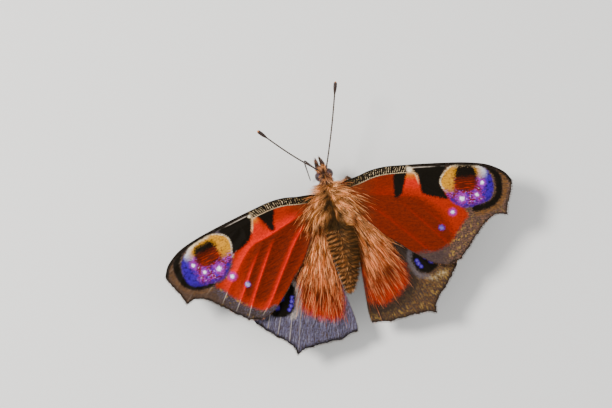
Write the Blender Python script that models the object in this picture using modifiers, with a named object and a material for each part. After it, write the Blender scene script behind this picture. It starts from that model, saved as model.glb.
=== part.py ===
"""A peacock butterfly at life size, standing on its legs with its wings spread flat.

The body lies along Y with the head at +Y, the wings spread along X, and the feet stand on Z = 0.
Lengths are in millimetres for a forewing of 29 mm, and METRES turns them into metres.
"""

import math

import bmesh
import bpy
import numpy as np
from mathutils import Matrix, Vector
from mathutils.geometry import delaunay_2d_cdt

# Driving sizes
FOREWING_LENGTH = 29.0
METRES = 0.001 * FOREWING_LENGTH / 29.0
GAP = 0.3
STANDING_HEIGHT = 6.8
OUTLINE_CENTRE = (0.01, -1.53)

# Thorax, head and abdomen
THORAX_CENTRE = Vector((0.0, 0.0, STANDING_HEIGHT))
THORAX_HALF = (2.5, 4.1, 2.6)
HEAD_CENTRE = Vector((-0.16, 5.65, STANDING_HEIGHT + 0.3))
HEAD_HALF = (1.35, 1.3, 1.3)
HEAD_TURN = math.radians(9.5)
NECK_RADIUS = 0.85
NECK_END = (0.0, 2.6, STANDING_HEIGHT + 0.2)
EYE_OFFSET = (0.95, 0.2, 0.1)
EYE_HALF = (0.72, 0.85, 0.95)
ABDOMEN_LENGTH = 12.6
ABDOMEN_START = -2.9
ABDOMEN_HALF_WIDTH = 2.3
ABDOMEN_FLATNESS = 0.93
ABDOMEN_SEGMENTS = 7
ABDOMEN_DROP = 1.3
ABDOMEN_LEAN = -0.6
ABDOMEN_BOW = 0.4

# Hair locks: rows of flat, tapered blades that lie back along the body
LOCK_SUNK = 0.35
LOCK_STATIONS = 4
THORAX_ROWS = 8
THORAX_LOCKS_A_ROW = 5
THORAX_COAT = 0.35
THORAX_COAT_END = -3.6
ABDOMEN_ROWS = 7
ABDOMEN_LOCKS_A_ROW = 5
ABDOMEN_REACH = 64
WING_LOCKS = 12
# How far down the sides the thorax rows reach in degrees, and how much they spread: beside the wings,
# and in the rows behind them
WING_ROWS = 6
BESIDE_WINGS = (31, 0.12)
BEHIND_WINGS = (58, 0.7)

# Wings: the sheet that both wings of a side follow, and what each wing adds to it
WING_ROOT_HEIGHT = STANDING_HEIGHT + 0.75
WING_ROOT_X = 2.6
WING_SPACING = 1.5
MEMBRANE = 0.5
VEIN_RIDGE_TOP = 0.25
VEIN_RIDGE_UNDER = 0.12
VEIN_HALF_WIDTH = 0.35
VEIN_STOP = 0.45
WING_RISE = {"right": math.radians(6.5), "left": math.radians(3.5)}
TIP_DROOP = 1.4
INNER_FOLD = 0.8
INNER_FOLD_WIDTH = 1.8
GRID_STEP = 3.2
VEIN_STEP = 1.9
EDGE_STEP = 1.5

# Where each wing's own frame stands: its hinge beside the body, and its sweep back from straight out
WING_PLACES = {
    "forewing_right": (3.0, 3.05, math.radians(12.2)),
    "forewing_left": (3.3, 2.1, math.radians(14.9)),
    "hindwing_right": (2.83, -0.7, math.radians(64.6)),
    "hindwing_left": (2.93, -1.6, math.radians(67.8)),
}

# Wing outlines in the wing's own frame: X from the hinge to the tip, Y towards the front edge
FORE_COSTA = [(-2.2, -0.5), (0.0, 0.75), (2.1, 1.5), (4.4, 2.45), (7.0, 3.0), (10.8, 3.2), (14.0, 3.3),
              (18.0, 3.35), (21.0, 3.3), (24.0, 3.0), (26.0, 2.4), (27.8, 1.4), (29.0, 0.0)]
# Outer margin: each vein's end, and how far the edge is cut in between it and the next
FORE_OUTER = [((29.0, 0.0), -0.1), ((28.5, -3.0), 0.15), ((28.0, -6.15), 0.5), ((24.8, -6.75), 0.12),
              ((22.8, -9.3), 0.15), ((21.3, -11.6), 0.15), ((19.8, -13.6), 0.1), ((17.8, -14.5), 0.0)]
FORE_INNER = [(17.8, -14.5), (15.9, -14.35), (13.9, -13.6), (11.2, -12.0), (9.0, -10.5), (6.5, -8.9),
              (3.5, -6.2), (0.5, -3.9), (-2.2, -3.0)]
FORE_VEINS = {
    "subcosta": [(-2.0, -1.0), (4.0, 1.4), (8.0, 2.3), (13.0, 2.75), (17.0, 3.35)],
    "radius": [(-2.0, -1.4), (4.0, 0.5), (8.0, 1.3), (13.4, 1.5), (19.0, 1.7), (24.0, 1.3), (28.3, 0.2)],
    "radius_5": [(19.0, 1.7), (23.5, 0.1), (28.0, -2.7)],
    "media_1": [(13.4, 1.5), (18.0, -0.3), (23.0, -2.9), (27.5, -5.7)],
    "media_2": [(13.4, -0.6), (18.0, -2.9), (21.5, -4.8), (24.4, -6.4)],
    "cubitus": [(-2.0, -1.8), (3.1, -1.6), (9.7, -2.2), (13.4, -2.4), (18.0, -5.3), (22.4, -8.9)],
    "cubitus_a1": [(10.6, -2.25), (14.5, -5.4), (18.0, -8.6), (20.9, -11.2)],
    "cubitus_a2": [(7.3, -2.0), (9.6, -3.5), (12.5, -6.1), (16.9, -10.3), (19.5, -13.1)],
    "anal": [(-2.0, -2.2), (4.5, -4.2), (9.9, -8.3), (14.6, -12.3), (17.2, -14.0)],
    "cell_end": [(13.4, 1.5), (13.1, 0.4), (13.4, -0.6), (13.4, -2.4)],
}
HIND_COSTA = [(-2.2, -0.9), (-1.2, 1.0), (0.6, 3.1), (3.0, 5.0), (5.5, 6.6), (9.0, 8.2), (13.0, 9.3),
              (16.5, 9.6), (18.5, 9.2), (19.8, 8.0)]
HIND_OUTER = [((19.8, 8.0), 0.1), ((20.8, 6.1), 0.12), ((21.6, 4.1), 0.15), ((22.3, 1.8), 0.25),
              ((24.1, 0.0), 0.35), ((22.3, -2.4), 0.15), ((21.2, -4.8), 0.15), ((20.3, -7.1), 0.2),
              ((18.3, -9.7), 0.0)]
HIND_INNER = [(18.3, -9.7), (16.6, -9.1), (14.4, -7.9), (11.5, -6.2), (9.0, -4.8), (6.5, -3.6), (3.5, -2.6),
              (0.8, -2.4)]
HIND_VEINS = {
    "subcosta": [(-1.0, 0.2), (1.6, 3.2), (6.0, 6.2), (12.0, 8.0), (18.9, 7.9)],
    "sector": [(6.0, 3.6), (12.0, 5.7), (20.3, 5.9)],
    "media_1": [(6.0, 3.6), (12.0, 3.9), (21.1, 4.0)],
    "media_2": [(7.2, 2.3), (13.0, 2.3), (21.9, 1.8)],
    "media_3": [(7.4, 0.7), (14.0, 0.8), (23.4, 0.0)],
    "cubitus_a1": [(7.4, 0.7), (14.0, -1.0), (21.9, -2.3)],
    "cubitus_a2": [(4.6, -0.4), (12.5, -2.7), (20.8, -4.7)],
    "anal": [(-0.6, -1.2), (7.0, -2.3), (13.5, -4.7), (19.9, -6.9)],
    "cell_top": [(-0.6, -0.1), (3.5, 2.0), (6.0, 3.6), (7.2, 2.3), (7.4, 0.7)],
    "cell_under": [(-0.6, -0.7), (4.6, -0.4), (7.4, 0.7)],
}

# Feelers, each from its root in the head to its tip, with the way it bows
ANTENNAE = {
    "right": ((0.2, 6.15, 8.1), (5.44, 20.75, 12.0), (0.2, 0.0, -0.4)),
    "left": ((-0.4, 6.35, 7.45), (-9.95, 14.35, 17.5), (0.0, -0.35, -0.6)),
}
ANTENNA_POINTS = 17
ANTENNA_RADIUS = 0.25
CLUB_RADIUS = 0.42
CLUB_START = 0.88

# Palps and tongue, in the head's own frame
PALP_ROUTE = [(0.5, 0.5, -0.5), (0.55, 1.3, -0.35), (0.52, 2.2, 0.0), (0.4, 3.2, 0.4)]
PALP_RADII = [0.33, 0.36, 0.33, 0.16]
TONGUE_ROUTE = [(0.0, 0.5, -0.95), (-0.4, 1.3, -1.3), (-1.1, 2.3, -0.9), (-1.75, 3.3, -0.4), (-2.05, 3.8, -0.35),
                (-2.2, 3.85, -0.8), (-2.22, 3.4, -2.0), (-2.2, 2.3, -4.2), (-2.18, 1.15, -6.35)]
TONGUE_RADIUS = 0.25

# Legs: hip, knee, ankle, heel and toe, with the leg's radius along each, in the body's frame
FOOT_HEIGHT = 0.2
LEG_ROUTES = {
    "leg_mid_right": [(1.0, 1.4, 5.2), (3.75, 4.75, 6.0), (6.0, 3.3, 1.5), (8.0, 2.6), (9.6, 2.2)],
    "leg_mid_left": [(-1.0, 1.4, 5.2), (-3.9, 2.3, 5.4), (-6.2, 2.7, 1.5), (-8.2, 2.5), (-9.8, 2.4)],
    "leg_hind_right": [(1.2, -1.4, 4.9), (3.2, -4.6, 4.9), (4.8, -9.4, 1.5), (5.4, -11.6), (5.8, -13.2)],
    "leg_hind_left": [(-1.2, -1.4, 4.9), (-3.2, -4.6, 4.9), (-4.8, -9.4, 1.5), (-5.4, -11.6), (-5.8, -13.2)],
}
LEG_RADII = (0.5, 0.36, 0.28, 0.3, 0.26)
FORELEG_ROUTE = [(0.75, 2.3, 5.2), (1.25, 4.4, 4.6), (0.95, 3.2, 3.3), (0.8, 4.3, 2.7)]
FORELEG_RADII = (0.34, 0.32, 0.3, 0.2)
BEND_ROUNDING = 0.35

COLOURS = {
    "head": ((0.09, 0.055, 0.03), 0.8),
    "eye": ((0.05, 0.03, 0.03), 0.25),
    "palp": ((0.06, 0.035, 0.025), 0.8),
    "antenna": ((0.05, 0.03, 0.015), 0.5),
    "proboscis": ((0.12, 0.06, 0.03), 0.4),
    "thorax": ((0.2, 0.1, 0.045), 0.9),
    "abdomen": ((0.09, 0.055, 0.025), 0.8),
    "leg": ((0.14, 0.09, 0.05), 0.6),
    "foreleg": ((0.1, 0.06, 0.04), 0.8),
    "forewing": ((0.28, 0.03, 0.008), 0.7),
    "hindwing": ((0.25, 0.05, 0.02), 0.7),
}


def new_object(name, mesh):
    """Puts a mesh in the butterfly's collection as one named object."""
    obj = bpy.data.objects.new(name, mesh)
    bpy.context.scene.collection.objects.link(obj)
    return obj


def mesh_from(bm, name):
    """Turns a bmesh built in millimetres into a mesh in metres."""
    bmesh.ops.recalc_face_normals(bm, faces=bm.faces)
    mesh = bpy.data.meshes.new(name)
    bm.to_mesh(mesh)
    bm.free()
    mesh.transform(Matrix.Scale(METRES, 4))
    return mesh


def smooth_curve(points, step):
    """Points about a step apart on a smooth curve through the given points."""
    points = [np.array(p, float) for p in points]
    padded = [2 * points[0] - points[1], *points, 2 * points[-1] - points[-2]]
    line = [points[0]]
    for a, b, c, d in zip(padded, padded[1:], padded[2:], padded[3:]):
        count = max(1, round(float(np.linalg.norm(c - b)) / step))
        for i in range(1, count + 1):
            t = i / count
            line.append(0.5 * (2 * b + (c - a) * t + (2 * a - 5 * b + 4 * c - d) * t**2
                               + (3 * b - a - 3 * c + d) * t**3))
    return line


def scalloped(ends, step):
    """The outer margin: from each vein's end to the next, an arc cut in by its own depth."""
    line = []
    for (start, depth), (end, _) in zip(ends, ends[1:]):
        a, b = np.array(start), np.array(end)
        run = b - a
        inward = np.array((run[1], -run[0])) / np.linalg.norm(run)
        count = max(2, round(float(np.linalg.norm(run)) / step))
        line += [a + run * i / count + inward * depth * math.sin(math.pi * i / count) for i in range(count)]
    return line


def wing_outline(costa, outer, inner):
    """The wing's edge, from its root along the front, outer and inner margins back to the root."""
    return smooth_curve(costa, EDGE_STEP)[:-1] + scalloped(outer, EDGE_STEP * 0.8) + smooth_curve(inner, EDGE_STEP)


def line_distance(points, line):
    """Distance from each point to a line of points."""
    best = np.full(len(points), 1e9)
    for a, b in zip(line, line[1:]):
        run = b - a
        t = np.clip((points - a) @ run / (run @ run), 0, 1)
        best = np.minimum(best, np.linalg.norm(points - a - t[:, None] * run, axis=1))
    return best


def inside(points, outline):
    """Which points lie inside the outline."""
    x, y = points[:, 0], points[:, 1]
    count = np.zeros(len(points), int)
    for a, b in zip(outline, outline[1:] + outline[:1]):
        crosses = (a[1] > y) != (b[1] > y)
        rise = b[1] - a[1] if abs(b[1] - a[1]) > 1e-12 else 1e-12
        count += crosses & (x < (b[0] - a[0]) * (y - a[1]) / rise + a[0])
    return count % 2 == 1


def wing_to_body(name, points):
    """Places points of a wing's own frame over the body, seen from above."""
    hinge_x, hinge_y, sweep = WING_PLACES[name]
    out = points[:, 0] * math.cos(sweep) + points[:, 1] * math.sin(sweep)
    ahead = points[:, 1] * math.cos(sweep) - points[:, 0] * math.sin(sweep)
    side = -1 if name.endswith("left") else 1
    return np.column_stack((side * (hinge_x + out), hinge_y + ahead))


def sheet_height(name, place):
    """Height of a wing's middle surface over each place, without its veins."""
    side = name.split("_")[1]
    out = np.abs(place[:, 0]) - WING_ROOT_X
    height = WING_ROOT_HEIGHT + out * math.tan(WING_RISE[side]) - TIP_DROOP * (out / FOREWING_LENGTH) ** 2
    if name.startswith("forewing"):
        return height + WING_SPACING / 2
    return height - WING_SPACING / 2 - INNER_FOLD * np.exp(-((out / INNER_FOLD_WIDTH) ** 2))


def vein_lines(veins):
    """Every vein as a line of points."""
    return {vein: smooth_curve(route, VEIN_STEP) for vein, route in veins.items()}


def clear_points(points, outline, lines, from_edge, from_vein):
    """Which points lie inside the outline, clear of its edge and of every vein."""
    clear = inside(points, outline) & (line_distance(points, outline + outline[:1]) > from_edge)
    for line in lines.values():
        clear &= line_distance(points, line) > from_vein
    return clear


def vein_foot(line, side):
    """The line where a vein's ridge meets the membrane, on one side of it."""
    foot = []
    for i, point in enumerate(line):
        run = line[min(i + 1, len(line) - 1)] - line[max(i - 1, 0)]
        across = np.array((-run[1], run[0])) / np.linalg.norm(run)
        foot.append(point + across * side * VEIN_HALF_WIDTH)
    return np.array(foot)


def add_line(coords, edges, points, kept=None):
    """Adds a line of points to a wing's drawing, broken wherever a point isn't kept."""
    last = None
    for i, point in enumerate(points):
        if kept is not None and not kept[i]:
            last = None
            continue
        coords.append(Vector(point))
        if last is not None:
            edges.append((last, len(coords) - 1))
        last = len(coords) - 1


def wing_grid(outline):
    """Points spread evenly over the wing's box."""
    low, high = np.min(outline, axis=0), np.max(outline, axis=0)
    return np.array([(x + (row % 2) * GRID_STEP / 2, y)
                     for row, y in enumerate(np.arange(low[1], high[1], GRID_STEP * 0.87))
                     for x in np.arange(low[0], high[0], GRID_STEP)])


def make_wing(name, costa, outer, inner, veins):
    """One wing: a thin sheet of even thickness, its main veins raised in both faces."""
    outline = wing_outline(costa, outer, inner)
    lines = vein_lines(veins)
    coords, edges = [], []
    add_line(coords, edges, outline)
    edges.append((len(outline) - 1, 0))
    for line in lines.values():
        add_line(coords, edges, line)
        for side in (-1, 1):
            foot = vein_foot(line, side)
            kept = clear_points(foot, outline, lines, VEIN_HALF_WIDTH, VEIN_HALF_WIDTH * 0.9)
            add_line(coords, edges, foot, kept)
    grid = wing_grid(outline)
    clear = clear_points(grid, outline, lines, 0.8, 2.5 * VEIN_HALF_WIDTH)
    coords += [Vector(p) for p in grid[clear]]
    found, _, faces = delaunay_2d_cdt(coords, edges, [list(range(len(outline)))], 1, 1e-4)[:3]
    flat = np.array([tuple(p) for p in found])
    ridge = np.zeros(len(flat))
    for line in lines.values():
        ridge = np.maximum(ridge, 1 - line_distance(flat, line) / VEIN_HALF_WIDTH)
    rim_distance = line_distance(flat, outline + outline[:1])
    ridge *= np.clip(rim_distance / VEIN_STOP, 0, 1)
    place = wing_to_body(name, flat)
    middle = sheet_height(name, place)
    top = middle + MEMBRANE / 2 + VEIN_RIDGE_TOP * ridge
    under = middle - MEMBRANE / 2 - VEIN_RIDGE_UNDER * ridge
    bm = bmesh.new()
    upper = [bm.verts.new((*p, z)) for p, z in zip(place, top)]
    lower = [bm.verts.new((*p, z)) for p, z in zip(place, under)]
    used = {}
    for face in faces:
        bm.faces.new([upper[i] for i in face])
        bm.faces.new([lower[i] for i in reversed(face)])
        for a, b in zip(face, [*face[1:], face[0]]):
            used[(a, b)] = True
    for a, b in used:
        if (b, a) not in used:
            bm.faces.new((upper[b], upper[a], lower[a], lower[b]))
    loose = [v for v in bm.verts if not v.link_faces]
    bmesh.ops.delete(bm, geom=loose, context="VERTS")
    return new_object(name, mesh_from(bm, name))


def egg(name, centre, half, turn=0.0, grow=0.0, segments=20, rings=12):
    """A UV sphere stretched to three half sizes, its poles along the body, and turned about Z."""
    bm = bmesh.new()
    bmesh.ops.create_uvsphere(bm, u_segments=segments, v_segments=rings, radius=1.0)
    bmesh.ops.rotate(bm, verts=bm.verts, matrix=Matrix.Rotation(math.radians(90), 3, "X"))
    bmesh.ops.scale(bm, verts=bm.verts, vec=[h + grow for h in half])
    bmesh.ops.rotate(bm, verts=bm.verts, matrix=Matrix.Rotation(turn, 3, "Z"))
    bmesh.ops.translate(bm, verts=bm.verts, vec=centre)
    return new_object(name, mesh_from(bm, name))


def abdomen_radius(along):
    """Half width of the abdomen, from 0 at its root to 1 at its tip, with a waist at each segment."""
    swell = (0.86 + 0.14 * math.sin(math.pi * min(1.0, along / 0.7))) * (1 - along**2.6) ** 0.55
    waist = 1 - 0.055 * (0.5 + 0.5 * math.cos(2 * math.pi * along * ABDOMEN_SEGMENTS))
    return ABDOMEN_HALF_WIDTH * swell * waist


def abdomen_axis(along):
    """A point of the abdomen's bent axis, from 0 at its root to 1 at its tip."""
    return (ABDOMEN_LEAN * along**2 + ABDOMEN_BOW * math.sin(math.pi * max(0.0, along)),
            ABDOMEN_START - along * ABDOMEN_LENGTH,
            STANDING_HEIGHT - 0.1 - ABDOMEN_DROP * along**2)


def make_abdomen(name, grow=0.0):
    """The abdomen: a profile turned about the body's axis, then bent down and aside."""
    stations = 3 * ABDOMEN_SEGMENTS
    length = ABDOMEN_LENGTH + grow
    bm = bmesh.new()
    profile = [(0.0, 0.0)] + [(abdomen_radius(i / stations) + grow, length * i / stations)
                              for i in range(stations)] + [(0.0, length)]
    verts = [bm.verts.new((radius, -along, 0.0)) for radius, along in profile]
    for a, b in zip(verts, verts[1:]):
        bm.edges.new((a, b))
    mesh = bpy.data.meshes.new(name)
    bm.to_mesh(mesh)
    bm.free()
    obj = new_object(name, mesh)
    screw = obj.modifiers.new("turn", "SCREW")
    screw.axis = "Y"
    screw.steps = screw.render_steps = 16
    screw.use_merge_vertices = True
    screw.merge_threshold = 1e-5
    turned = evaluated_mesh(obj)
    bm = bmesh.new()
    bm.from_mesh(turned)
    bmesh.ops.remove_doubles(bm, verts=bm.verts, dist=1e-4)
    for vert in bm.verts:
        along = -vert.co.y / ABDOMEN_LENGTH
        vert.co.z *= ABDOMEN_FLATNESS
        vert.co += Vector(abdomen_axis(along)) + Vector((0, along * ABDOMEN_LENGTH, 0))
    remove(obj)
    return new_object(name, mesh_from(bm, name))


def evaluated_mesh(obj):
    """The object's mesh with its modifiers applied."""
    graph = bpy.context.evaluated_depsgraph_get()
    return bpy.data.meshes.new_from_object(obj.evaluated_get(graph), depsgraph=graph)


def remove(obj):
    bpy.data.objects.remove(obj, do_unlink=True)


def tube(name, route, radii, resolution=1):
    """A round tube along a route in millimetres, with a radius at each point."""
    curve = bpy.data.curves.new(name, "CURVE")
    curve.dimensions = "3D"
    curve.bevel_depth = METRES
    curve.bevel_resolution = resolution
    curve.use_fill_caps = True
    spline = curve.splines.new("POLY")
    spline.points.add(len(route) - 1)
    for point, place, radius in zip(spline.points, route, radii):
        point.co = (*(Vector(place) * METRES), 1)
        point.radius = radius
    obj = new_object(name + "_curve", curve)
    mesh = evaluated_mesh(obj)
    remove(obj)
    bm = bmesh.new()
    bm.from_mesh(mesh)
    bmesh.ops.remove_doubles(bm, verts=bm.verts, dist=METRES * 1e-4)
    bmesh.ops.recalc_face_normals(bm, faces=bm.faces)
    bm.to_mesh(mesh)
    bm.free()
    return new_object(name, mesh)


def apply_boolean(obj, operation, *others):
    """Cuts or joins the object with others, and applies it."""
    group = bpy.data.collections.new("others")
    bpy.context.scene.collection.children.link(group)
    for other in others:
        group.objects.link(other)
    cut = obj.modifiers.new("cut", "BOOLEAN")
    cut.operation = operation
    cut.solver = "EXACT"
    cut.operand_type = "COLLECTION"
    cut.collection = group
    mesh = evaluated_mesh(obj)
    obj.modifiers.clear()
    obj.data = mesh
    bpy.data.collections.remove(group)
    keep_largest(obj)


def keep_largest(obj):
    """Keeps the object's largest closed surface, as cuts can leave loose scraps."""
    bm = bmesh.new()
    bm.from_mesh(obj.data)
    bm.verts.ensure_lookup_table()
    seen, groups = set(), []
    for vert in bm.verts:
        if vert.index in seen:
            continue
        seen.add(vert.index)
        stack, group = [vert], []
        while stack:
            current = stack.pop()
            group.append(current)
            for edge in current.link_edges:
                other = edge.other_vert(current)
                if other.index not in seen:
                    seen.add(other.index)
                    stack.append(other)
        groups.append(group)
    largest = max(groups, key=len)
    for group in groups:
        if group is not largest:
            bmesh.ops.delete(bm, geom=group, context="VERTS")
    bmesh.ops.triangulate(bm, faces=bm.faces)
    bm.to_mesh(obj.data)
    bm.free()


def head_place(local):
    """A point of the head's own frame, in the body's."""
    return HEAD_CENTRE + Matrix.Rotation(HEAD_TURN, 3, "Z") @ Vector(local)


def make_head(thorax_clear):
    """The head on its neck, with a socket for each eye."""
    head = egg("head", HEAD_CENTRE, HEAD_HALF, HEAD_TURN, segments=18, rings=10)
    neck = tube("neck", [HEAD_CENTRE, NECK_END], [NECK_RADIUS] * 2, resolution=2)
    apply_boolean(head, "UNION", neck)
    remove(neck)
    apply_boolean(head, "DIFFERENCE", thorax_clear)
    for side, sign in (("left", -1), ("right", 1)):
        centre = head_place((sign * EYE_OFFSET[0], *EYE_OFFSET[1:]))
        egg(f"eye_{side}", centre, EYE_HALF, HEAD_TURN, segments=14, rings=8)
        socket = egg("socket", centre, EYE_HALF, HEAD_TURN, grow=GAP, segments=14, rings=8)
        apply_boolean(head, "DIFFERENCE", socket)
        remove(socket)


def make_antenna(side, head_clear):
    """A feeler: a thin shaft that bows a little and ends in a club."""
    root, tip, bow = (Vector(v) for v in ANTENNAE[side])
    route, radii = [], []
    for i in range(ANTENNA_POINTS):
        along = i / (ANTENNA_POINTS - 1)
        route.append(root.lerp(tip, along) + bow * math.sin(math.pi * along))
        swell = math.sin(math.pi * 0.5 * min(1.0, max(0.0, along - CLUB_START) * 2 / (1 - CLUB_START)))
        radii.append(ANTENNA_RADIUS + (CLUB_RADIUS - ANTENNA_RADIUS) * swell)
    radii[-1] = ANTENNA_RADIUS
    antenna = tube(f"antenna_{side}", route, radii)
    apply_boolean(antenna, "DIFFERENCE", head_clear)


def make_mouth(head_clear):
    """The two palps beside the tongue, and the tongue let down to feed."""
    for side, sign in (("left", -1), ("right", 1)):
        route = [head_place((sign * x, y, z)) for x, y, z in PALP_ROUTE]
        smooth = smooth_curve(route, 0.6)
        radii = np.interp(np.linspace(0, 1, len(smooth)), np.linspace(0, 1, len(PALP_RADII)), PALP_RADII)
        palp = tube(f"palp_{side}", smooth, radii)
        apply_boolean(palp, "DIFFERENCE", head_clear)
    smooth = smooth_curve([head_place(p) for p in TONGUE_ROUTE], 0.6)
    radii = [TONGUE_RADIUS * (1 - 0.35 * i / len(smooth)) for i in range(len(smooth))]
    tongue = tube("proboscis", smooth, radii)
    apply_boolean(tongue, "DIFFERENCE", head_clear)


def rounded_route(points, radii):
    """A route with each bend cut by two points beside its corner, and a radius for every point."""
    route, sizes = [Vector(points[0])], [radii[0]]
    for before, corner, after, radius in zip(points, points[1:], points[2:], radii[1:]):
        for end in (before, after):
            away = (Vector(end) - Vector(corner)).normalized()
            route.append(Vector(corner) + away * BEND_ROUNDING)
            sizes.append(radius)
    route.append(Vector(points[-1]))
    sizes.append(radii[-1])
    return route, sizes


def make_leg(name, route, thorax_clear, floor):
    """A walking leg: thigh, shank and foot, flat where it stands."""
    points = [*route[:3], *((*p, FOOT_HEIGHT) for p in route[3:])]
    leg = tube(name, *rounded_route(points, LEG_RADII), resolution=2)
    apply_boolean(leg, "DIFFERENCE", floor)
    apply_boolean(leg, "DIFFERENCE", thorax_clear)


def make_foreleg(side, sign, thorax_clear):
    """One of the small brush-like front legs, folded against the breast."""
    points = [(sign * x, y, z) for x, y, z in FORELEG_ROUTE]
    leg = tube(f"foreleg_{side}", *rounded_route(points, FORELEG_RADII))
    apply_boolean(leg, "DIFFERENCE", thorax_clear)


def make_lock(stations):
    """One closed blade through stations of (centre, way across, way up, half width, half thickness)."""
    bm = bmesh.new()
    rings = []
    for centre, across, upward, half_width, half_thick in stations:
        corners = (across * half_width, upward * half_thick, across * -half_width, upward * -half_thick)
        rings.append([bm.verts.new(centre + corner) for corner in corners])
    for near, far in zip(rings, rings[1:]):
        for i in range(4):
            j = (i + 1) % 4
            bm.faces.new((near[i], near[j], far[j]))
            bm.faces.new((near[i], far[j], far[i]))
    bm.faces.new(reversed(rings[0]))
    bm.faces.new(rings[-1])
    return new_object("lock", mesh_from(bm, "lock"))


def lock_shape(along, width, thickness):
    """Half width and half thickness of a lock, from its root at 0 to its tip at 1."""
    taper = (1 - along**1.6) * (0.75 + 0.25 * math.sin(math.pi * min(1.0, along * 2)))
    return width / 2 * max(taper, 0.2), thickness / 2 * max(1 - along, 0.35)


def body_lock(surface, place, lie, length, width, lift, thickness):
    """A lock rooted in a rounded surface at a place, bent to follow it along its lie."""
    stations = []
    for i in range(LOCK_STATIONS):
        along = i / (LOCK_STATIONS - 1)
        point, normal = surface(place + lie * length * along)
        half_width, half_thick = lock_shape(along, width, thickness)
        centre = point + normal * (-LOCK_SUNK + (LOCK_SUNK + lift) * along**0.45)
        stations.append((centre, lie.cross(normal).normalized(), normal, half_width, half_thick))
    return make_lock(stations)


def thorax_surface(place):
    """The point of the thorax straight out towards a place, and the way out there."""
    offset = place - THORAX_CENTRE
    scaled = Vector(v / h for v, h in zip(offset, THORAX_HALF))
    point = offset / scaled.length
    normal = Vector(v / h**2 for v, h in zip(point, THORAX_HALF)).normalized()
    return THORAX_CENTRE + point, normal


def abdomen_surface(place):
    """The point of the abdomen straight out from its axis towards a place, and the way out there."""
    along = min(0.985, (ABDOMEN_START - place.y) / ABDOMEN_LENGTH)
    axis = Vector(abdomen_axis(along))
    out = Vector((place.x - axis.x, 0, (place.z - axis.z) / ABDOMEN_FLATNESS)).normalized()
    out.z *= ABDOMEN_FLATNESS
    return axis + out * abdomen_radius(along), out.normalized()


def dress_thorax(thorax):
    """Rows of locks over the back and sides of the thorax, longer and more spread at the sides."""
    locks = []
    for row in range(THORAX_ROWS):
        ahead = 3.8 - 6.4 * row / (THORAX_ROWS - 1)
        girth = math.sqrt(1 - (ahead / THORAX_HALF[1]) ** 2)
        reach, spread = BESIDE_WINGS if row < WING_ROWS else BEHIND_WINGS
        for i in range(THORAX_LOCKS_A_ROW):
            share = (2 * i + 0.5 + row % 2) / THORAX_LOCKS_A_ROW - 1
            angle = math.radians(reach * share)
            place = THORAX_CENTRE + Vector((girth * THORAX_HALF[0] * math.sin(angle), ahead,
                                            girth * THORAX_HALF[2] * math.cos(angle)))
            lie = Vector((spread * math.sin(angle) + 0.06 * math.sin(7.0 * row + 3.0 * i), -1, 0)).normalized()
            length = 2.2 + 0.6 * abs(share) + 0.25 * math.sin(5.0 * i + 2.0 * row)
            length = min(length, (ahead - THORAX_COAT_END) / -lie.y)
            locks.append(body_lock(thorax_surface, place, lie, length, 1.45, 0.25, 0.45))
    apply_boolean(thorax, "UNION", *locks)
    for lock in locks:
        remove(lock)


def dress_abdomen(abdomen):
    """A row of short locks across the back of each segment of the abdomen."""
    locks = []
    for row in range(ABDOMEN_ROWS):
        along = 0.05 + 0.8 * row / (ABDOMEN_ROWS - 1)
        axis, radius = Vector(abdomen_axis(along)), abdomen_radius(along)
        for i in range(ABDOMEN_LOCKS_A_ROW):
            share = (2 * i + 0.5 + row % 2) / ABDOMEN_LOCKS_A_ROW - 1
            angle = math.radians(ABDOMEN_REACH * share)
            place = axis + Vector((math.sin(angle), 0, math.cos(angle) * ABDOMEN_FLATNESS)) * radius
            lie = Vector((0.25 * math.sin(angle), -1, -0.1)).normalized()
            length = 2.5 - 0.8 * along + 0.15 * math.sin(4.0 * i + 3.0 * row)
            locks.append(body_lock(abdomen_surface, place, lie, length, 1.4 - 0.6 * along, 0.2, 0.4))
    apply_boolean(abdomen, "UNION", *locks)
    for lock in locks:
        remove(lock)


def dress_hindwing(wing):
    """Long flat locks that fan out from the root over the inner half of a hindwing."""
    locks = []
    for i in range(WING_LOCKS):
        share = i / (WING_LOCKS - 1)
        heading = math.radians(-30 + 35 * share)
        start = 2.6 + 2.3 * (i % 3)
        length = 5.2 + 0.5 * math.sin(5.0 * i)
        stations = []
        for j in range(LOCK_STATIONS):
            along = j / (LOCK_STATIONS - 1)
            reach = start + length * along
            bend = heading * (1 - 0.12 * along)
            flat = np.array([[reach * math.cos(bend) - 0.3, reach * math.sin(bend) - 0.5]])
            place = wing_to_body(wing.name, flat)
            rise = -0.08 + 0.3 * math.sin(math.pi * along**0.7) + 0.08 * along
            height = sheet_height(wing.name, place)[0] + MEMBRANE / 2 + rise
            half_width, half_thick = lock_shape(along, 1.1, 0.3)
            stations.append([Vector((*place[0], height)), None, Vector((0, 0, 1)), half_width, half_thick])
        for j, station in enumerate(stations):
            run = stations[min(j + 1, LOCK_STATIONS - 1)][0] - stations[max(j - 1, 0)][0]
            station[1] = run.cross(station[2]).normalized()
        locks.append(make_lock(stations))
    apply_boolean(wing, "UNION", *locks)
    for lock in locks:
        remove(lock)


def floor_block():
    """A block under the floor, which cuts the feet flat."""
    bm = bmesh.new()
    bmesh.ops.create_cube(bm, size=40)
    bmesh.ops.translate(bm, verts=bm.verts, vec=(0, 0, -20))
    return new_object("floor_cut", mesh_from(bm, "floor_cut"))


def paint(obj):
    """Gives the object its own plain material, by the first part of its name."""
    colour, roughness = COLOURS[obj.name.split("_")[0]]
    material = bpy.data.materials.new(obj.name)
    material.use_nodes = True
    shader = material.node_tree.nodes["Principled BSDF"]
    shader.inputs["Base Color"].default_value = (*colour, 1)
    shader.inputs["Roughness"].default_value = roughness
    shader.inputs["Metallic"].default_value = 0.0
    obj.data.materials.clear()
    obj.data.materials.append(material)


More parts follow.
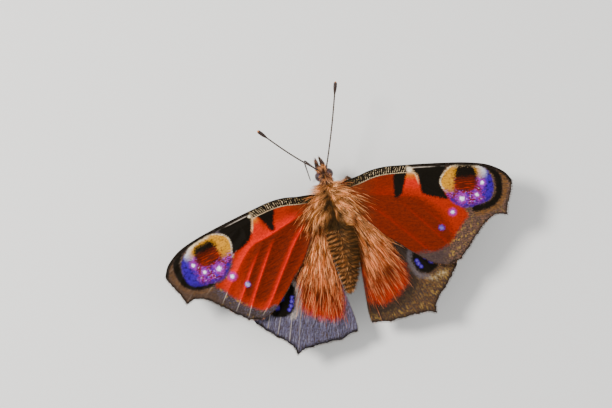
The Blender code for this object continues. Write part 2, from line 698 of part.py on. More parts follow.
def main():
    for obj in list(bpy.data.objects):
        bpy.data.objects.remove(obj, do_unlink=True)
    thorax = egg("thorax", THORAX_CENTRE, THORAX_HALF)
    thorax_clear = egg("thorax_clear", THORAX_CENTRE, THORAX_HALF, grow=GAP)
    make_head(thorax_clear)
    head_clear = egg("head_clear", HEAD_CENTRE, HEAD_HALF, HEAD_TURN, grow=GAP, segments=18, rings=10)
    abdomen = make_abdomen("abdomen")
    abdomen_clear = make_abdomen("abdomen_clear", grow=GAP)
    dress_thorax(thorax)
    dress_abdomen(abdomen)
    coat_clear = egg("coat_clear", THORAX_CENTRE, THORAX_HALF, grow=GAP + THORAX_COAT)
    apply_boolean(abdomen, "DIFFERENCE", coat_clear)
    for side, sign in (("left", -1), ("right", 1)):
        make_antenna(side, head_clear)
        make_foreleg(side, sign, thorax_clear)
    make_mouth(head_clear)
    floor = floor_block()
    for name, route in LEG_ROUTES.items():
        make_leg(name, route, thorax_clear, floor)
    for side in ("left", "right"):
        fore = make_wing(f"forewing_{side}", FORE_COSTA, FORE_OUTER, FORE_INNER, FORE_VEINS)
        hind = make_wing(f"hindwing_{side}", HIND_COSTA, HIND_OUTER, HIND_INNER, HIND_VEINS)
        dress_hindwing(hind)
        for wing in (fore, hind):
            apply_boolean(wing, "DIFFERENCE", thorax_clear)
            apply_boolean(wing, "DIFFERENCE", abdomen_clear)
    for helper in (thorax_clear, coat_clear, head_clear, abdomen_clear, floor):
        remove(helper)
    shift = Vector((-OUTLINE_CENTRE[0], -OUTLINE_CENTRE[1], 0)) * METRES
    for obj in bpy.data.objects:
        paint(obj)
        obj.data.transform(Matrix.Translation(shift))
        obj.data.shade_smooth()
        obj.data.set_sharp_from_angle(angle=math.radians(40))


main()
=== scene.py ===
"""The looks of a life-size peacock butterfly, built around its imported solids.

Lengths in the tables are in millimetres in the body's own frame, with the head towards +Y and the floor at
Z = 0. The stage alone is in metres.
"""

import math

import bmesh
import bpy
import numpy as np
from bpy.props import FloatProperty, FloatVectorProperty, IntProperty, PointerProperty
from mathutils import Matrix, Vector
from mathutils.geometry import delaunay_2d_cdt


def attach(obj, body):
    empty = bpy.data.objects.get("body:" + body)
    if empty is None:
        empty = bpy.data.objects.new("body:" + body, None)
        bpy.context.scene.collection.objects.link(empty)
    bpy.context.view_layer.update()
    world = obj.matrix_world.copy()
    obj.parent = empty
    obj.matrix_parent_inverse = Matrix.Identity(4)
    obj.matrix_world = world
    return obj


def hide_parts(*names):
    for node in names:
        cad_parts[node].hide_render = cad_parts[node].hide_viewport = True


bl_info = {
    "name": "Peacock butterfly",
    "version": (1, 0, 0),
    "blender": (4, 5, 0),
    "location": "View3D > Sidebar > Butterfly",
    "description": "Builds the wings, coat, eyes, feelers, legs and stage of a peacock butterfly",
    "category": "Object",
}

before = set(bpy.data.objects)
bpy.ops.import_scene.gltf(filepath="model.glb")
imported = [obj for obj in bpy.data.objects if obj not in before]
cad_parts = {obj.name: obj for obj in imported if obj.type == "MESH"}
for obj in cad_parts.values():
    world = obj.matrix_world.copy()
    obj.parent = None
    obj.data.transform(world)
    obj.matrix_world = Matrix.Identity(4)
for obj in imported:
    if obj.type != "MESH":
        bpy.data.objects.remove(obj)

MM = 0.001
OUTLINE_CENTRE = (0.01, -1.53)
STANDING_HEIGHT = 6.8

# Body, head and abdomen, as in the solids
THORAX_CENTRE = Vector((0.0, 0.0, STANDING_HEIGHT))
THORAX_HALF = (2.5, 4.1, 2.6)
HEAD_CENTRE = Vector((-0.16, 5.65, STANDING_HEIGHT + 0.3))
HEAD_HALF = (1.35, 1.3, 1.3)
HEAD_TURN = math.radians(9.5)
NECK_END = Vector((0.0, 2.6, STANDING_HEIGHT + 0.2))
EYE_OFFSET = (0.95, 0.2, 0.1)
EYE_HALF = (0.72, 0.85, 0.95)
ABDOMEN_LENGTH = 12.6
ABDOMEN_START = -2.9
ABDOMEN_HALF_WIDTH = 2.3
ABDOMEN_FLATNESS = 0.93
ABDOMEN_SEGMENTS = 7
ABDOMEN_DROP = 1.3
ABDOMEN_LEAN = -0.6
ABDOMEN_BOW = 0.4
NECK_RADIUS = 0.85
FACE_CENTRE = (0, 0.75, -0.35)
FACE_HALF = (0.85, 0.85, 0.85)

# The skin lies inside the solids by the depth of the coat
THORAX_INSET = 0.22
HEAD_INSET = 0.12
ABDOMEN_INSET = 0.12
ABDOMEN_TIP_RADIUS = 0.12
ABDOMEN_STEPS = 60
SKIN_VOXEL = 0.2
SKIN_SMOOTHING = (0.5, 6)

# The coat: rings of paler hair round the abdomen, dark tufts on the thorax as x, y and size, and lengths
ABDOMEN_RINGS = 17
THORAX_DARK = [(0.75, -1.35, 0.6), (-0.5, -2.7, 0.5), (0.1, 0.6, 0.5), (-1.1, 0.2, 0.4), (0.9, 1.3, 0.35),
               (0.3, -3.6, 0.7)]
BACK_HAIR = 0.95
FLANK_HAIR = 1.35
HEAD_HAIR = 0.9
BELLY_HAIR = 0.5
EYE_CLEARANCE = 1.02

# Wings: the sheet that both wings of a side follow, then each wing's hinge and sweep
WING_ROOT_HEIGHT = STANDING_HEIGHT + 0.75
WING_ROOT_X = 2.6
WING_SPACING = 1.5
WING_RISE = {"right": math.radians(6.5), "left": math.radians(3.5)}
TIP_DROOP = 1.4
INNER_FOLD = 0.8
INNER_FOLD_WIDTH = 1.8
WING_LENGTH = 29.0
WING_PLACES = {
    "forewing_right": (3.0, 3.05, math.radians(12.2)),
    "forewing_left": (3.3, 2.1, math.radians(14.9)),
    "hindwing_right": (2.83, -0.7, math.radians(64.6)),
    "hindwing_left": (2.93, -1.6, math.radians(67.8)),
}
FORE_COSTA = [(-2.2, -0.5), (0.0, 0.75), (2.1, 1.5), (4.4, 2.45), (7.0, 3.0), (10.8, 3.2), (14.0, 3.3),
              (18.0, 3.35), (21.0, 3.3), (24.0, 3.0), (26.0, 2.4), (27.8, 1.4), (29.0, 0.0)]
FORE_OUTER = [((29.0, 0.0), -0.1), ((28.5, -3.0), 0.15), ((28.0, -6.15), 0.5), ((24.8, -6.75), 0.12),
              ((22.8, -9.3), 0.15), ((21.3, -11.6), 0.15), ((19.8, -13.6), 0.1), ((17.8, -14.5), 0.0)]
FORE_INNER = [(17.8, -14.5), (15.9, -14.35), (13.9, -13.6), (11.2, -12.0), (9.0, -10.5), (6.5, -8.9),
              (3.5, -6.2), (0.5, -3.9), (-2.2, -3.0)]
FORE_VEINS = {
    "subcosta": [(-2.0, -1.0), (4.0, 1.4), (8.0, 2.3), (13.0, 2.75), (17.0, 3.35)],
    "radius": [(-2.0, -1.4), (4.0, 0.5), (8.0, 1.3), (13.4, 1.5), (19.0, 1.7), (24.0, 1.3), (28.3, 0.2)],
    "radius_5": [(19.0, 1.7), (23.5, 0.1), (28.0, -2.7)],
    "media_1": [(13.4, 1.5), (18.0, -0.3), (23.0, -2.9), (27.5, -5.7)],
    "media_2": [(13.4, -0.6), (18.0, -2.9), (21.5, -4.8), (24.4, -6.4)],
    "cubitus": [(-2.0, -1.8), (3.1, -1.6), (9.7, -2.2), (13.4, -2.4), (18.0, -5.3), (22.4, -8.9)],
    "cubitus_a1": [(10.6, -2.25), (14.5, -5.4), (18.0, -8.6), (20.9, -11.2)],
    "cubitus_a2": [(7.3, -2.0), (9.6, -3.5), (12.5, -6.1), (16.9, -10.3), (19.5, -13.1)],
    "anal": [(-2.0, -2.2), (4.5, -4.2), (9.9, -8.3), (14.6, -12.3), (17.2, -14.0)],
    "cell_end": [(13.4, 1.5), (13.1, 0.4), (13.4, -0.6), (13.4, -2.4)],
}
HIND_COSTA = [(-2.2, -0.9), (-1.2, 1.0), (0.6, 3.1), (3.0, 5.0), (5.5, 6.6), (9.0, 8.2), (13.0, 9.3),
              (16.5, 9.6), (18.5, 9.2), (19.8, 8.0)]
HIND_OUTER = [((19.8, 8.0), 0.1), ((20.8, 6.1), 0.12), ((21.6, 4.1), 0.15), ((22.3, 1.8), 0.25),
              ((24.1, 0.0), 0.35), ((22.3, -2.4), 0.15), ((21.2, -4.8), 0.15), ((20.3, -7.1), 0.2),
              ((18.3, -9.7), 0.0)]
HIND_INNER = [(18.3, -9.7), (16.6, -9.1), (14.4, -7.9), (11.5, -6.2), (9.0, -4.8), (6.5, -3.6), (3.5, -2.6),
              (0.8, -2.4)]
HIND_VEINS = {
    "subcosta": [(-1.0, 0.2), (1.6, 3.2), (6.0, 6.2), (12.0, 8.0), (18.9, 7.9)],
    "sector": [(6.0, 3.6), (12.0, 5.7), (20.3, 5.9)],
    "media_1": [(6.0, 3.6), (12.0, 3.9), (21.1, 4.0)],
    "media_2": [(7.2, 2.3), (13.0, 2.3), (21.9, 1.8)],
    "media_3": [(7.4, 0.7), (14.0, 0.8), (23.4, 0.0)],
    "cubitus_a1": [(7.4, 0.7), (14.0, -1.0), (21.9, -2.3)],
    "cubitus_a2": [(4.6, -0.4), (12.5, -2.7), (20.8, -4.7)],
    "anal": [(-0.6, -1.2), (7.0, -2.3), (13.5, -4.7), (19.9, -6.9)],
    "cell_top": [(-0.6, -0.1), (3.5, 2.0), (6.0, 3.6), (7.2, 2.3), (7.4, 0.7)],
    "cell_under": [(-0.6, -0.7), (4.6, -0.4), (7.4, 0.7)],
}

# Markings of the species in the wing's own frame: closed outlines, and lines with a half width
FORE_MARKS = {
    "right": {
        "black_inner": [(8.5, 1.6), (10.5, 2.2), (10.4, 0.6), (10.0, -1.0), (9.6, -2.1), (8.6, -2.5),
                        (8.4, -0.6)],
        "black_outer": [(11.9, 2.6), (17.4, 3.0), (16.5, 0.7), (16.4, -0.3), (17.2, -1.8), (17.6, -3.0),
                        (16.3, -2.8), (13.8, -2.1), (13.2, -1.3), (12.8, 0.6), (12.4, 1.6)],
        "eyespot": [(19.1, 3.0), (17.4, 2.0), (16.4, 0.0), (17.2, -1.8), (18.3, -3.5), (20.2, -4.7),
                    (21.9, -4.6), (23.6, -4.1), (25.1, -3.3), (25.8, -1.4), (25.5, 0.6), (24.2, 2.3),
                    (21.8, 3.1)],
        "core": [(19.6, 2.8), (22.5, 2.6), (23.0, -0.1), (22.3, -1.8), (20.3, -1.9), (18.8, -1.5),
                 (18.9, 0.4)],
        "red": [(-3.0, 3.0), (10.0, 3.2), (14.0, 1.0), (18.0, -2.0), (20.6, -5.0), (21.0, -6.2), (20.2, -7.2),
                (18.8, -9.5), (18.4, -10.4), (17.2, -11.3), (15.6, -12.0), (13.6, -12.1), (11.9, -12.3),
                (9.0, -11.8), (4.0, -8.5), (-3.0, -5.5)],
    },
    "left": {
        "black_inner": [(9.9, 2.3), (7.0, 1.9), (7.1, 0.9), (8.0, -0.5), (8.1, -1.5), (8.9, -1.8),
                        (9.3, 0.2)],
        "black_outer": [(10.9, 3.2), (12.1, -0.1), (13.6, -1.5), (16.8, -2.0), (16.1, -0.6), (16.2, 0.8),
                        (17.0, 3.0), (13.8, 3.2)],
        "eyespot": [(18.3, 2.8), (16.3, 1.3), (16.2, -0.6), (17.5, -3.0), (19.7, -5.0), (21.6, -5.1),
                    (25.5, -3.9), (26.2, -1.5), (25.4, 0.8), (22.9, 2.6), (20.5, 3.1)],
        "core": [(19.2, 2.0), (22.2, 2.0), (23.0, -0.1), (22.3, -1.9), (20.3, -2.1), (18.7, -1.5),
                 (18.6, 0.2)],
        "red": [(-3.0, 3.0), (10.0, 3.2), (13.0, 1.0), (16.0, -1.6), (19.0, -5.0), (21.9, -5.6), (21.2, -6.6),
                (20.5, -8.2), (19.5, -9.9), (18.4, -11.5), (17.1, -12.8), (16.1, -13.3), (14.6, -13.3),
                (12.6, -13.6), (9.0, -11.8), (4.0, -8.5), (-3.0, -5.5)],
    },
}
MAHOGANY = [(-3.0, 1.0), (4.0, -0.5), (7.0, -2.2), (10.7, -2.4), (14.0, -3.8), (16.2, -5.8), (17.8, -8.2),
            (18.3, -10.3), (16.6, -12.0), (12.0, -12.5), (6.0, -9.0), (-3.0, -4.0)]
EYESPOT_RING = [(23.2, 3.2), (24.9, 2.5), (26.3, 1.0), (26.7, -1.1), (26.3, -3.0), (24.7, -4.4), (22.4, -4.9)]
TAN_BAND = [(25.4, 2.6), (27.0, 1.6), (27.8, -0.2), (27.6, -2.1), (26.7, -4.0), (24.9, -5.2), (22.7, -5.7)]
FORE_SPOTS = {
    "right": [(23.8, -0.4, 0.36), (22.8, -2.5, 0.36), (20.2, -3.1, 0.5), (18.5, -5.4, 0.36)],
    "left": [(23.8, -0.6, 0.36), (22.6, -2.6, 0.36), (20.1, -3.2, 0.5), (18.7, -5.5, 0.42)],
}
PLAIN_SPOTS = {"right": (16.5, -8.1, 0.5), "left": (17.0, -8.0, 0.5)}
HIND_MARKS = {
    "right": {
        "eyespot": [(13.3, 3.9), (13.8, 3.0), (15.0, 2.4), (16.3, 2.4), (17.5, 3.0), (17.9, 4.2), (17.4, 6.2),
                    (15.8, 6.4), (14.1, 5.3)],
        "red": [(2.0, 4.0), (7.7, 1.2), (11.6, 0.5), (14.2, 0.5), (15.4, 0.1), (16.6, -0.9), (17.0, -2.7),
                (17.0, -4.6), (16.5, -6.5), (14.9, -7.2), (12.6, -6.1), (8.0, -4.6), (3.0, -3.0),
                (-2.0, 0.0)],
    },
    "left": {
        "eyespot": [(17.7, 5.9), (15.9, 5.6), (12.8, 4.3), (11.8, 3.1), (13.2, 2.2), (15.5, 2.1), (17.0, 2.3),
                    (17.8, 3.2), (18.1, 4.6)],
        "red": [(2.0, 4.0), (8.9, 1.9), (11.7, 1.2), (15.3, 0.9), (16.6, -1.3), (17.0, -3.6), (16.6, -5.7),
                (15.8, -6.6), (13.1, -6.2), (8.9, -4.8), (3.0, -3.0), (-2.0, 0.0)],
    },
}
HIND_RING = {
    "right": [(12.6, 4.9), (12.9, 3.2), (14.0, 2.1), (15.5, 1.7), (17.1, 1.9), (18.3, 2.9)],
    "left": [(11.0, 4.6), (11.5, 3.2), (12.3, 2.2), (13.9, 1.5), (16.2, 1.25), (17.8, 1.9)],
}
TAN_PATCH = [(18.3, 3.2), (19.2, 6.2), (20.0, 5.4), (19.6, 3.8), (19.0, 2.8), (18.2, 2.3)]
CORNER_SPOTS = {"right": (11.2, 2.35, 0.34), "left": (11.2, 2.35, 0.2)}
HIND_SPOTS = {
    "right": [(14.8, 3.1, 0.3), (15.4, 3.0, 0.33), (16.1, 3.05, 0.3), (15.2, 4.8, 0.45), (16.4, 5.1, 0.45)],
    "left": [(14.8, 4.4, 0.42), (16.5, 4.8, 0.42), (14.3, 2.62, 0.3), (15.0, 2.5, 0.32), (15.8, 2.48, 0.32),
             (16.5, 2.7, 0.3)],
}

WING_EDGES = {"forewing": (FORE_COSTA, FORE_OUTER, FORE_INNER),
              "hindwing": (HIND_COSTA, HIND_OUTER, HIND_INNER)}
WING_VEINS = {"forewing": FORE_VEINS, "hindwing": HIND_VEINS}
WING_MARKS = {"forewing": FORE_MARKS, "hindwing": HIND_MARKS}
MARGIN_SEEDS = {"forewing_right": 26, "forewing_left": 25, "hindwing_right": 25, "hindwing_left": 24}
CURVE_STEP = 0.3
RIM_STEP = 0.22
MARK_STEP = 0.4
GUIDE_STEP = 0.8
GUIDE_GRID = 0.6
GUIDE_MARGIN = 0.35
GUIDE_LIFT = 0.06
VEIN_MARGIN = 0.12
PLEAT_SLOPE = 0.9

# Painted highlight on the veins that catch the light: how far the glow reaches ahead of each, and its
# strength
LIT_VEINS = {"cubitus": (1.1, 0.75), "cubitus_a1": (0.42, 0.5), "cubitus_a2": (0.42, 0.5), "anal": (0.5, 0.5),
             "media_2": (0.4, 0.5)}
# Strength of the painted highlight on each side; the left wings take far more of it
LIT_STRENGTH = {"left": 1.0, "right": 0.12}

# Feelers from root to tip with their bow, their radius, rings on each millimetre, and the club as shares
# of the length
ANTENNAE = {
    "right": ((0.2, 6.15, 8.1), (5.44, 20.75, 12.0), (0.2, 0.0, -0.4)),
    "left": ((-0.4, 6.35, 7.45), (-9.95, 14.35, 17.5), (0.0, -0.35, -0.6)),
}
FEELER_RADIUS = 0.13
FEELER_RINGS = 2.2
FEELER_STEPS = 160
CLUB_SWELL = 0.2
CLUB_START = 0.86
CLUB_SLOPE = 0.09
CLUB_END = 0.965

# Palps and tongue in the head's own frame, and legs in the body's
PALP_ROUTE = [(0.45, 0.4, -0.5), (0.52, 1.3, -0.35), (0.5, 2.2, 0.0), (0.38, 3.25, 0.42)]
TONGUE_ROUTE = [(0.0, 0.5, -0.95), (-0.4, 1.3, -1.3), (-1.1, 2.3, -0.9), (-1.75, 3.3, -0.4),
                (-2.05, 3.8, -0.35), (-2.2, 3.85, -0.8), (-2.22, 3.4, -2.0), (-2.2, 2.3, -4.2),
                (-2.18, 1.15, -6.35)]
LEG_ROUTES = {
    "leg_mid_right": [(1.0, 1.4, 5.2), (3.75, 4.75, 6.0), (6.0, 3.3, 1.5), (8.0, 2.6, 0.2), (9.6, 2.2, 0.2)],
    "leg_mid_left": [(-1.0, 1.4, 5.2), (-3.9, 2.3, 5.4), (-6.2, 2.7, 1.5), (-8.2, 2.5, 0.2),
                     (-9.8, 2.4, 0.2)],
    "leg_hind_right": [(1.2, -1.4, 4.9), (3.2, -4.6, 4.9), (4.8, -9.4, 1.5), (5.4, -11.6, 0.2),
                       (5.8, -13.2, 0.2)],
    "leg_hind_left": [(-1.2, -1.4, 4.9), (-3.2, -4.6, 4.9), (-4.8, -9.4, 1.5), (-5.4, -11.6, 0.2),
                      (-5.8, -13.2, 0.2)],
    "foreleg_right": [(0.75, 2.3, 5.2), (1.25, 4.4, 4.6), (0.95, 3.2, 3.3), (0.8, 4.3, 2.7)],
    "foreleg_left": [(-0.75, 2.3, 5.2), (-1.25, 4.4, 4.6), (-0.95, 3.2, 3.3), (-0.8, 4.3, 2.7)],
}
PALP_RADIUS = 0.3
TONGUE_RADIUS = 0.17
WALKING_LEG_RADII = (0.36, 0.24, 0.17, 0.17, 0.13)
FORELEG_RADII = (0.26, 0.24, 0.2, 0.12)
LEG_STEP = 0.25
FLOOR_GAP = 0.005

# The wing plane is 40 mm across in its UV map, with the hinge at this corner offset
PLANE_SPAN = 40.0
PLANE_OFFSET = (4.0, 20.0)

# Each strand's patch in the coat's UV map, and where the body's own unwrap starts and how far it reaches
BAKE_PATCH = 0.003
BODY_TAIL = -16.0
BODY_SPAN = 24.0

# Stage, in metres: each light's place and width, the point that the camera looks at, and the surroundings
LIGHTS = [("key", (-0.2, 0.1, 0.31), 0.1), ("fill", (0.3, -0.1, 0.25), 0.3)]
CAMERA_TARGET = Vector((-0.00445, 0.00325, 0.006))
CAMERA_SENSOR = 36.0
CAMERA_CLIP = (0.01, 10.0)
SKY_COLOUR = (0.92, 0.95, 1.0, 1.0)
SKY_STRENGTH = 0.85
FLOOR_REACH = 2.0


def linear(code):
    """A six-digit colour as linear red, green and blue."""
    parts = [(code >> shift & 255) / 255 for shift in (16, 8, 0)]
    return tuple(((p + 0.055) / 1.055) ** 2.4 if p > 0.04 else p / 12.92 for p in parts)


def colour(name, code, description):
    """A colour that a user may change."""
    return FloatVectorProperty(name=name, description=description, subtype="COLOR", size=3, min=0.0, max=1.0,
                               default=linear(code))


def length(name, millimetres, description):
    """A length that a user may change."""
    return FloatProperty(name=name, description=description, unit="LENGTH", min=0.0, precision=5,
                         default=millimetres * MM)


class ButterflyWingSizes(bpy.types.PropertyGroup):
    membrane: length("Membrane", 0.16, "Thickness of a wing between its veins")
    vein_height: length("Vein height", 0.09, "How far a vein stands out of the upper face")
    vein_width: length("Vein half width", 0.15, "Half the width of a vein's ridge")
    pleat_left: length("Left pleats", 0.34, "Depth of the folds between the veins of the left wings")
    pleat_right: length("Right pleats", 0.12, "Depth of the folds between the veins of the right wings")
    mesh_step: length("Mesh step", 0.21, "Distance between the points of a wing's mesh")
    edge_wear: length("Edge wear", 0.1, "Depth of the small nicks in the outer margin")


def density(place, number, where):
    """A number of strands on each square millimetre, which a user may change."""
    return FloatProperty(name=f"{place} density", description=f"Strands on each square millimetre of {where}",
                         default=number, min=0.0)


class ButterflyCoatSizes(bpy.types.PropertyGroup):
    strand: length("Strand width", 0.07, "Width of a strand of hair at its root")
    thorax: density("Thorax", 95.0, "the thorax")
    abdomen: density("Abdomen", 70.0, "the abdomen")
    head: density("Head", 130.0, "the head")
    wing: density("Wing", 34.0, "a wing's root")
    fringe: density("Fringe", 150.0, "a margin")
    bristle: density("Bristle", 26.0, "a leg")
    seed: IntProperty(name="Seed", description="Seed for every random draw of the coat", default=7)


class ButterflyColours(bpy.types.PropertyGroup):
    mahogany: colour("Mahogany", 0x611600, "The darker red of the wings")
    red: colour("Red", 0x891D00, "The brighter red of the wings")
    flame: colour("Flame", 0xD21404, "Red of the lit folds")
    # Flame is a brighter red of the scales, and also the painted highlight on the lit folds
    black: colour("Black", 0x0D0802, "The black patches")
    ochre: colour("Ochre", 0xB87C14, "The crescent of the forewing's eyespot")
    cream: colour("Cream", 0xE1CEAA, "The pale spots and wedge at the front edge")
    blue: colour("Blue", 0x2E0082, "Blue scales of the eyespots")
    violet: colour("Violet", 0x8A2C98, "Violet scales of the eyespots")
    white: colour("White", 0xF3F0FB, "The small white spots")
    gold: colour("Gold", 0x896930, "Golden flecks of the border")
    tan: colour("Tan", 0x6C4519, "Pale scales of the border")
    brown: colour("Brown", 0x372B24, "Dark scales of the border")
    grey: colour("Grey", 0x504B5F, "Grey scales of the hindwing's border")
    under: colour("Underside", 0x1D1915, "The dark underside")
    fur: colour("Fur", 0xD47E36, "The orange-brown hair")
    fur_pale: colour("Pale fur", 0xFFBC80, "The lit, pale hair")
    fur_dark: colour("Dark fur", 0x463014, "The dark hair along the back")
    mauve: colour("Mauve fur", 0x7C666C, "The grey-violet hair of the head")
    skin: colour("Skin", 0x1D1408, "The body under the hair")
    eye: colour("Eye", 0x4A2C30, "The eyes")
    horn: colour("Horn", 0x2A160A, "Feelers, legs and tongue")


class ButterflyStageSizes(bpy.types.PropertyGroup):
    azimuth: FloatProperty(name="Camera azimuth", description="Camera's turn about the upright axis",
                           default=math.radians(-13.53), subtype="ANGLE")
    elevation: FloatProperty(name="Camera elevation", description="Camera's height over the horizon",
                             default=math.radians(82.0), subtype="ANGLE")
    distance: length("Camera distance", 300.15, "From the camera to the point that it looks at")
    lens: FloatProperty(name="Lens", description="Focal length in millimetres", default=100.0)
    key_power: FloatProperty(name="Key light", description="Power of the key light", default=1.9,
                             unit="POWER")
    fill_power: FloatProperty(name="Fill light", description="Power of the fill light", default=0.5,
                              unit="POWER")
    floor: colour("Floor", 0xE9E6E0, "The pale floor")


# Shapes


def to_frame(points):
    """Points of the body's own frame in millimetres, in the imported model's frame in metres."""
    points = np.asarray(points, float)
    return (points - np.array((*OUTLINE_CENTRE, 0.0))) * MM


def smooth_curve(points, step, closed=False):
    """Points about a step apart on a smooth curve through the given points."""
    points = [np.array(p, float) for p in points]
    if closed:
        padded = [points[-1], *points, points[0], points[1]]
    else:
        padded = [2 * points[0] - points[1], *points, 2 * points[-1] - points[-2]]
    line = [points[0]]
    for a, b, c, d in zip(padded, padded[1:], padded[2:], padded[3:]):
        count = max(1, round(float(np.linalg.norm(c - b)) / step))
        for i in range(1, count + 1):
            t = i / count
            line.append(0.5 * (2 * b + (c - a) * t + (2 * a - 5 * b + 4 * c - d) * t**2
                               + (3 * b - a - 3 * c + d) * t**3))
    return line


def scalloped(ends, step, nick, random):
    """The outer margin: an arc from each vein's end to the next, each cut in by its depth, with nicks."""
    line = []
    for (start, depth), (end, _) in zip(ends, ends[1:]):
        a, b = np.array(start), np.array(end)
        run = b - a
        inward = np.array((run[1], -run[0])) / np.linalg.norm(run)
        count = max(2, round(float(np.linalg.norm(run)) / step))
        for i in range(count):
            wear = nick * random.uniform(-0.4, 1.0) if i else 0.0
            line.append(a + run * i / count + inward * (depth * math.sin(math.pi * i / count) + wear))
    return line


def line_distance(points, line):
    """For each point: its distance from a line, how far along the line that is, and on which side."""
    best = np.full(len(points), 1e9)
    where = np.zeros(len(points))
    side = np.ones(len(points))
    done = 0.0
    for a, b in zip(line, line[1:]):
        run = b - a
        span = float(np.linalg.norm(run))
        t = np.clip((points - a) @ run / (run @ run), 0, 1)
        away = points - a - t[:, None] * run
        gap = np.linalg.norm(away, axis=1)
        nearer = gap < best
        where = np.where(nearer, done + t * span, where)
        side = np.where(nearer, np.sign(run[0] * away[:, 1] - run[1] * away[:, 0]), side)
        best = np.minimum(best, gap)
        done += span
    return best, where, side


def nearest_gap(points, lines):
    """Distance from each point to the nearest of several lines."""
    return np.min([line_distance(points, line)[0] for line in lines], axis=0)


def inside(points, outline):
    """Which points lie inside the outline."""
    x, y = points[:, 0], points[:, 1]
    count = np.zeros(len(points), int)
    for a, b in zip(outline, outline[1:] + outline[:1]):
        crosses = (a[1] > y) != (b[1] > y)
        rise = b[1] - a[1] if abs(b[1] - a[1]) > 1e-12 else 1e-12
        count += crosses & (x < (b[0] - a[0]) * (y - a[1]) / rise + a[0])
    return count % 2 == 1


def depth_inside(points, marks):
    """How deep each point lies inside a closed marking, and below zero outside it."""
    outline = smooth_curve(marks, MARK_STEP, closed=True)[:-1]
    gap = line_distance(points, outline + outline[:1])[0]
    return np.where(inside(points, outline), gap, -gap)


def wing_to_body(name, points):
    """Places points of a wing's own frame over the body, seen from above."""
    hinge_x, hinge_y, sweep = WING_PLACES[name]
    out = points[:, 0] * math.cos(sweep) + points[:, 1] * math.sin(sweep)
    ahead = points[:, 1] * math.cos(sweep) - points[:, 0] * math.sin(sweep)
    side = -1 if name.endswith("left") else 1
    return np.column_stack((side * (hinge_x + out), hinge_y + ahead))


def sheet_height(name, place):
    """Height of a wing's middle surface over each place, without its veins."""
    side = name.split("_")[1]
    out = np.abs(place[:, 0]) - WING_ROOT_X
    height = WING_ROOT_HEIGHT + out * math.tan(WING_RISE[side]) - TIP_DROOP * (out / WING_LENGTH) ** 2
    if name.startswith("forewing"):
        return height + WING_SPACING / 2
    return height - WING_SPACING / 2 - INNER_FOLD * np.exp(-((out / INNER_FOLD_WIDTH) ** 2))


def abdomen_radius(along):
    """Half width of the abdomen, from 0 at its root to 1 at its tip, with a waist at each segment."""
    swell = (0.86 + 0.14 * math.sin(math.pi * min(1.0, along / 0.7))) * (1 - along**2.6) ** 0.55
    waist = 1 - 0.055 * (0.5 + 0.5 * math.cos(2 * math.pi * along * ABDOMEN_SEGMENTS))
    return ABDOMEN_HALF_WIDTH * swell * waist


def abdomen_axis(along):
    """A point of the abdomen's bent axis, from 0 at its root to 1 at its tip."""
    return (ABDOMEN_LEAN * along**2 + ABDOMEN_BOW * math.sin(math.pi * max(0.0, along)),
            ABDOMEN_START - along * ABDOMEN_LENGTH,
            STANDING_HEIGHT - 0.1 - ABDOMEN_DROP * along**2)


def head_place(local):
    """A point of the head's own frame, in the body's."""
    return HEAD_CENTRE + Matrix.Rotation(HEAD_TURN, 3, "Z") @ Vector(local)


def new_object(name, data):
    obj = bpy.data.objects.new(name, data)
    bpy.context.scene.collection.objects.link(obj)
    return obj


def mesh_of(name, points, faces):
    """A smooth mesh from points in millimetres and faces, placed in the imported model's frame."""
    mesh = bpy.data.meshes.new(name)
    mesh.from_pydata(to_frame(points).tolist(), [], [tuple(int(i) for i in f) for f in faces])
    mesh.shade_smooth()
    return mesh


def mesh_from(bm, name):
    """Turns a bmesh into a mesh and frees it."""
    mesh = bpy.data.meshes.new(name)
    bm.to_mesh(mesh)
    bm.free()
    return mesh


def points_of(mesh, kind="co"):
    """The places or normals of a mesh's points."""
    values = np.empty(len(mesh.vertices) * 3)
    mesh.vertices.foreach_get(kind, values)
    return values.reshape(-1, 3)


def facing(faces, turned):
    """The faces as they are, or turned round."""
    return [tuple(reversed(face)) if turned else tuple(face) for face in faces]


def write_values(mesh, name, values, kind="FLOAT"):
    """Stores one value for each point of a mesh under a name."""
    layer = mesh.attributes.new(name, kind, "POINT")
    key = "value" if kind == "FLOAT" else "vector"
    layer.data.foreach_set(key, np.asarray(values, np.float32).ravel())


def write_uv(mesh, name, coordinates):
    """A UV map with one place for each point of the mesh."""
    corners = np.empty(len(mesh.loops), np.int32)
    mesh.loops.foreach_get("vertex_index", corners)
    layer = mesh.uv_layers.new(name=name)
    layer.uv.foreach_set("vector", np.asarray(coordinates, np.float32)[corners].ravel())


def evaluated_mesh(obj):
    """The object's mesh with its modifiers applied."""
    graph = bpy.context.evaluated_depsgraph_get()
    return bpy.data.meshes.new_from_object(obj.evaluated_get(graph), preserve_all_data_layers=True,
                                           depsgraph=graph)


def loft(route, radii, sides=10, flat=1.0):
    """Points and faces of a closed round body along a route, with its own radius at each point."""
    route = [Vector(p) for p in route]
    points, faces = [], []
    across = None
    for i, (centre, radius) in enumerate(zip(route, radii)):
        run = run_at(route, i)
        if across is None:
            across = run.orthogonal().normalized()
        across = (across - run * across.dot(run)).normalized()
        up = run.cross(across)
        for k in range(sides):
            angle = 2 * math.pi * k / sides
            points.append(centre + (across * math.cos(angle) + up * (flat * math.sin(angle))) * radius)
    for i in range(len(route) - 1):
        for k in range(sides):
            a, b = i * sides + k, i * sides + (k + 1) % sides
            faces.append((a, b, b + sides, a + sides))
    first, last = len(points), len(points) + 1
    points += [route[0], route[-1]]
    for k in range(sides):
        faces.append((first, (k + 1) % sides, k))
        tail = (len(route) - 1) * sides
        faces.append((last, tail + k, tail + (k + 1) % sides))
    return points, faces

def run_at(route, i):
    """The way that a route takes at one of its points."""
    return (route[min(i + 1, len(route) - 1)] - route[max(i - 1, 0)]).normalized()


def along_route(route, step):
    """A smooth route with a point about every step."""
    return [Vector(p) for p in smooth_curve([tuple(p) for p in route], step)]


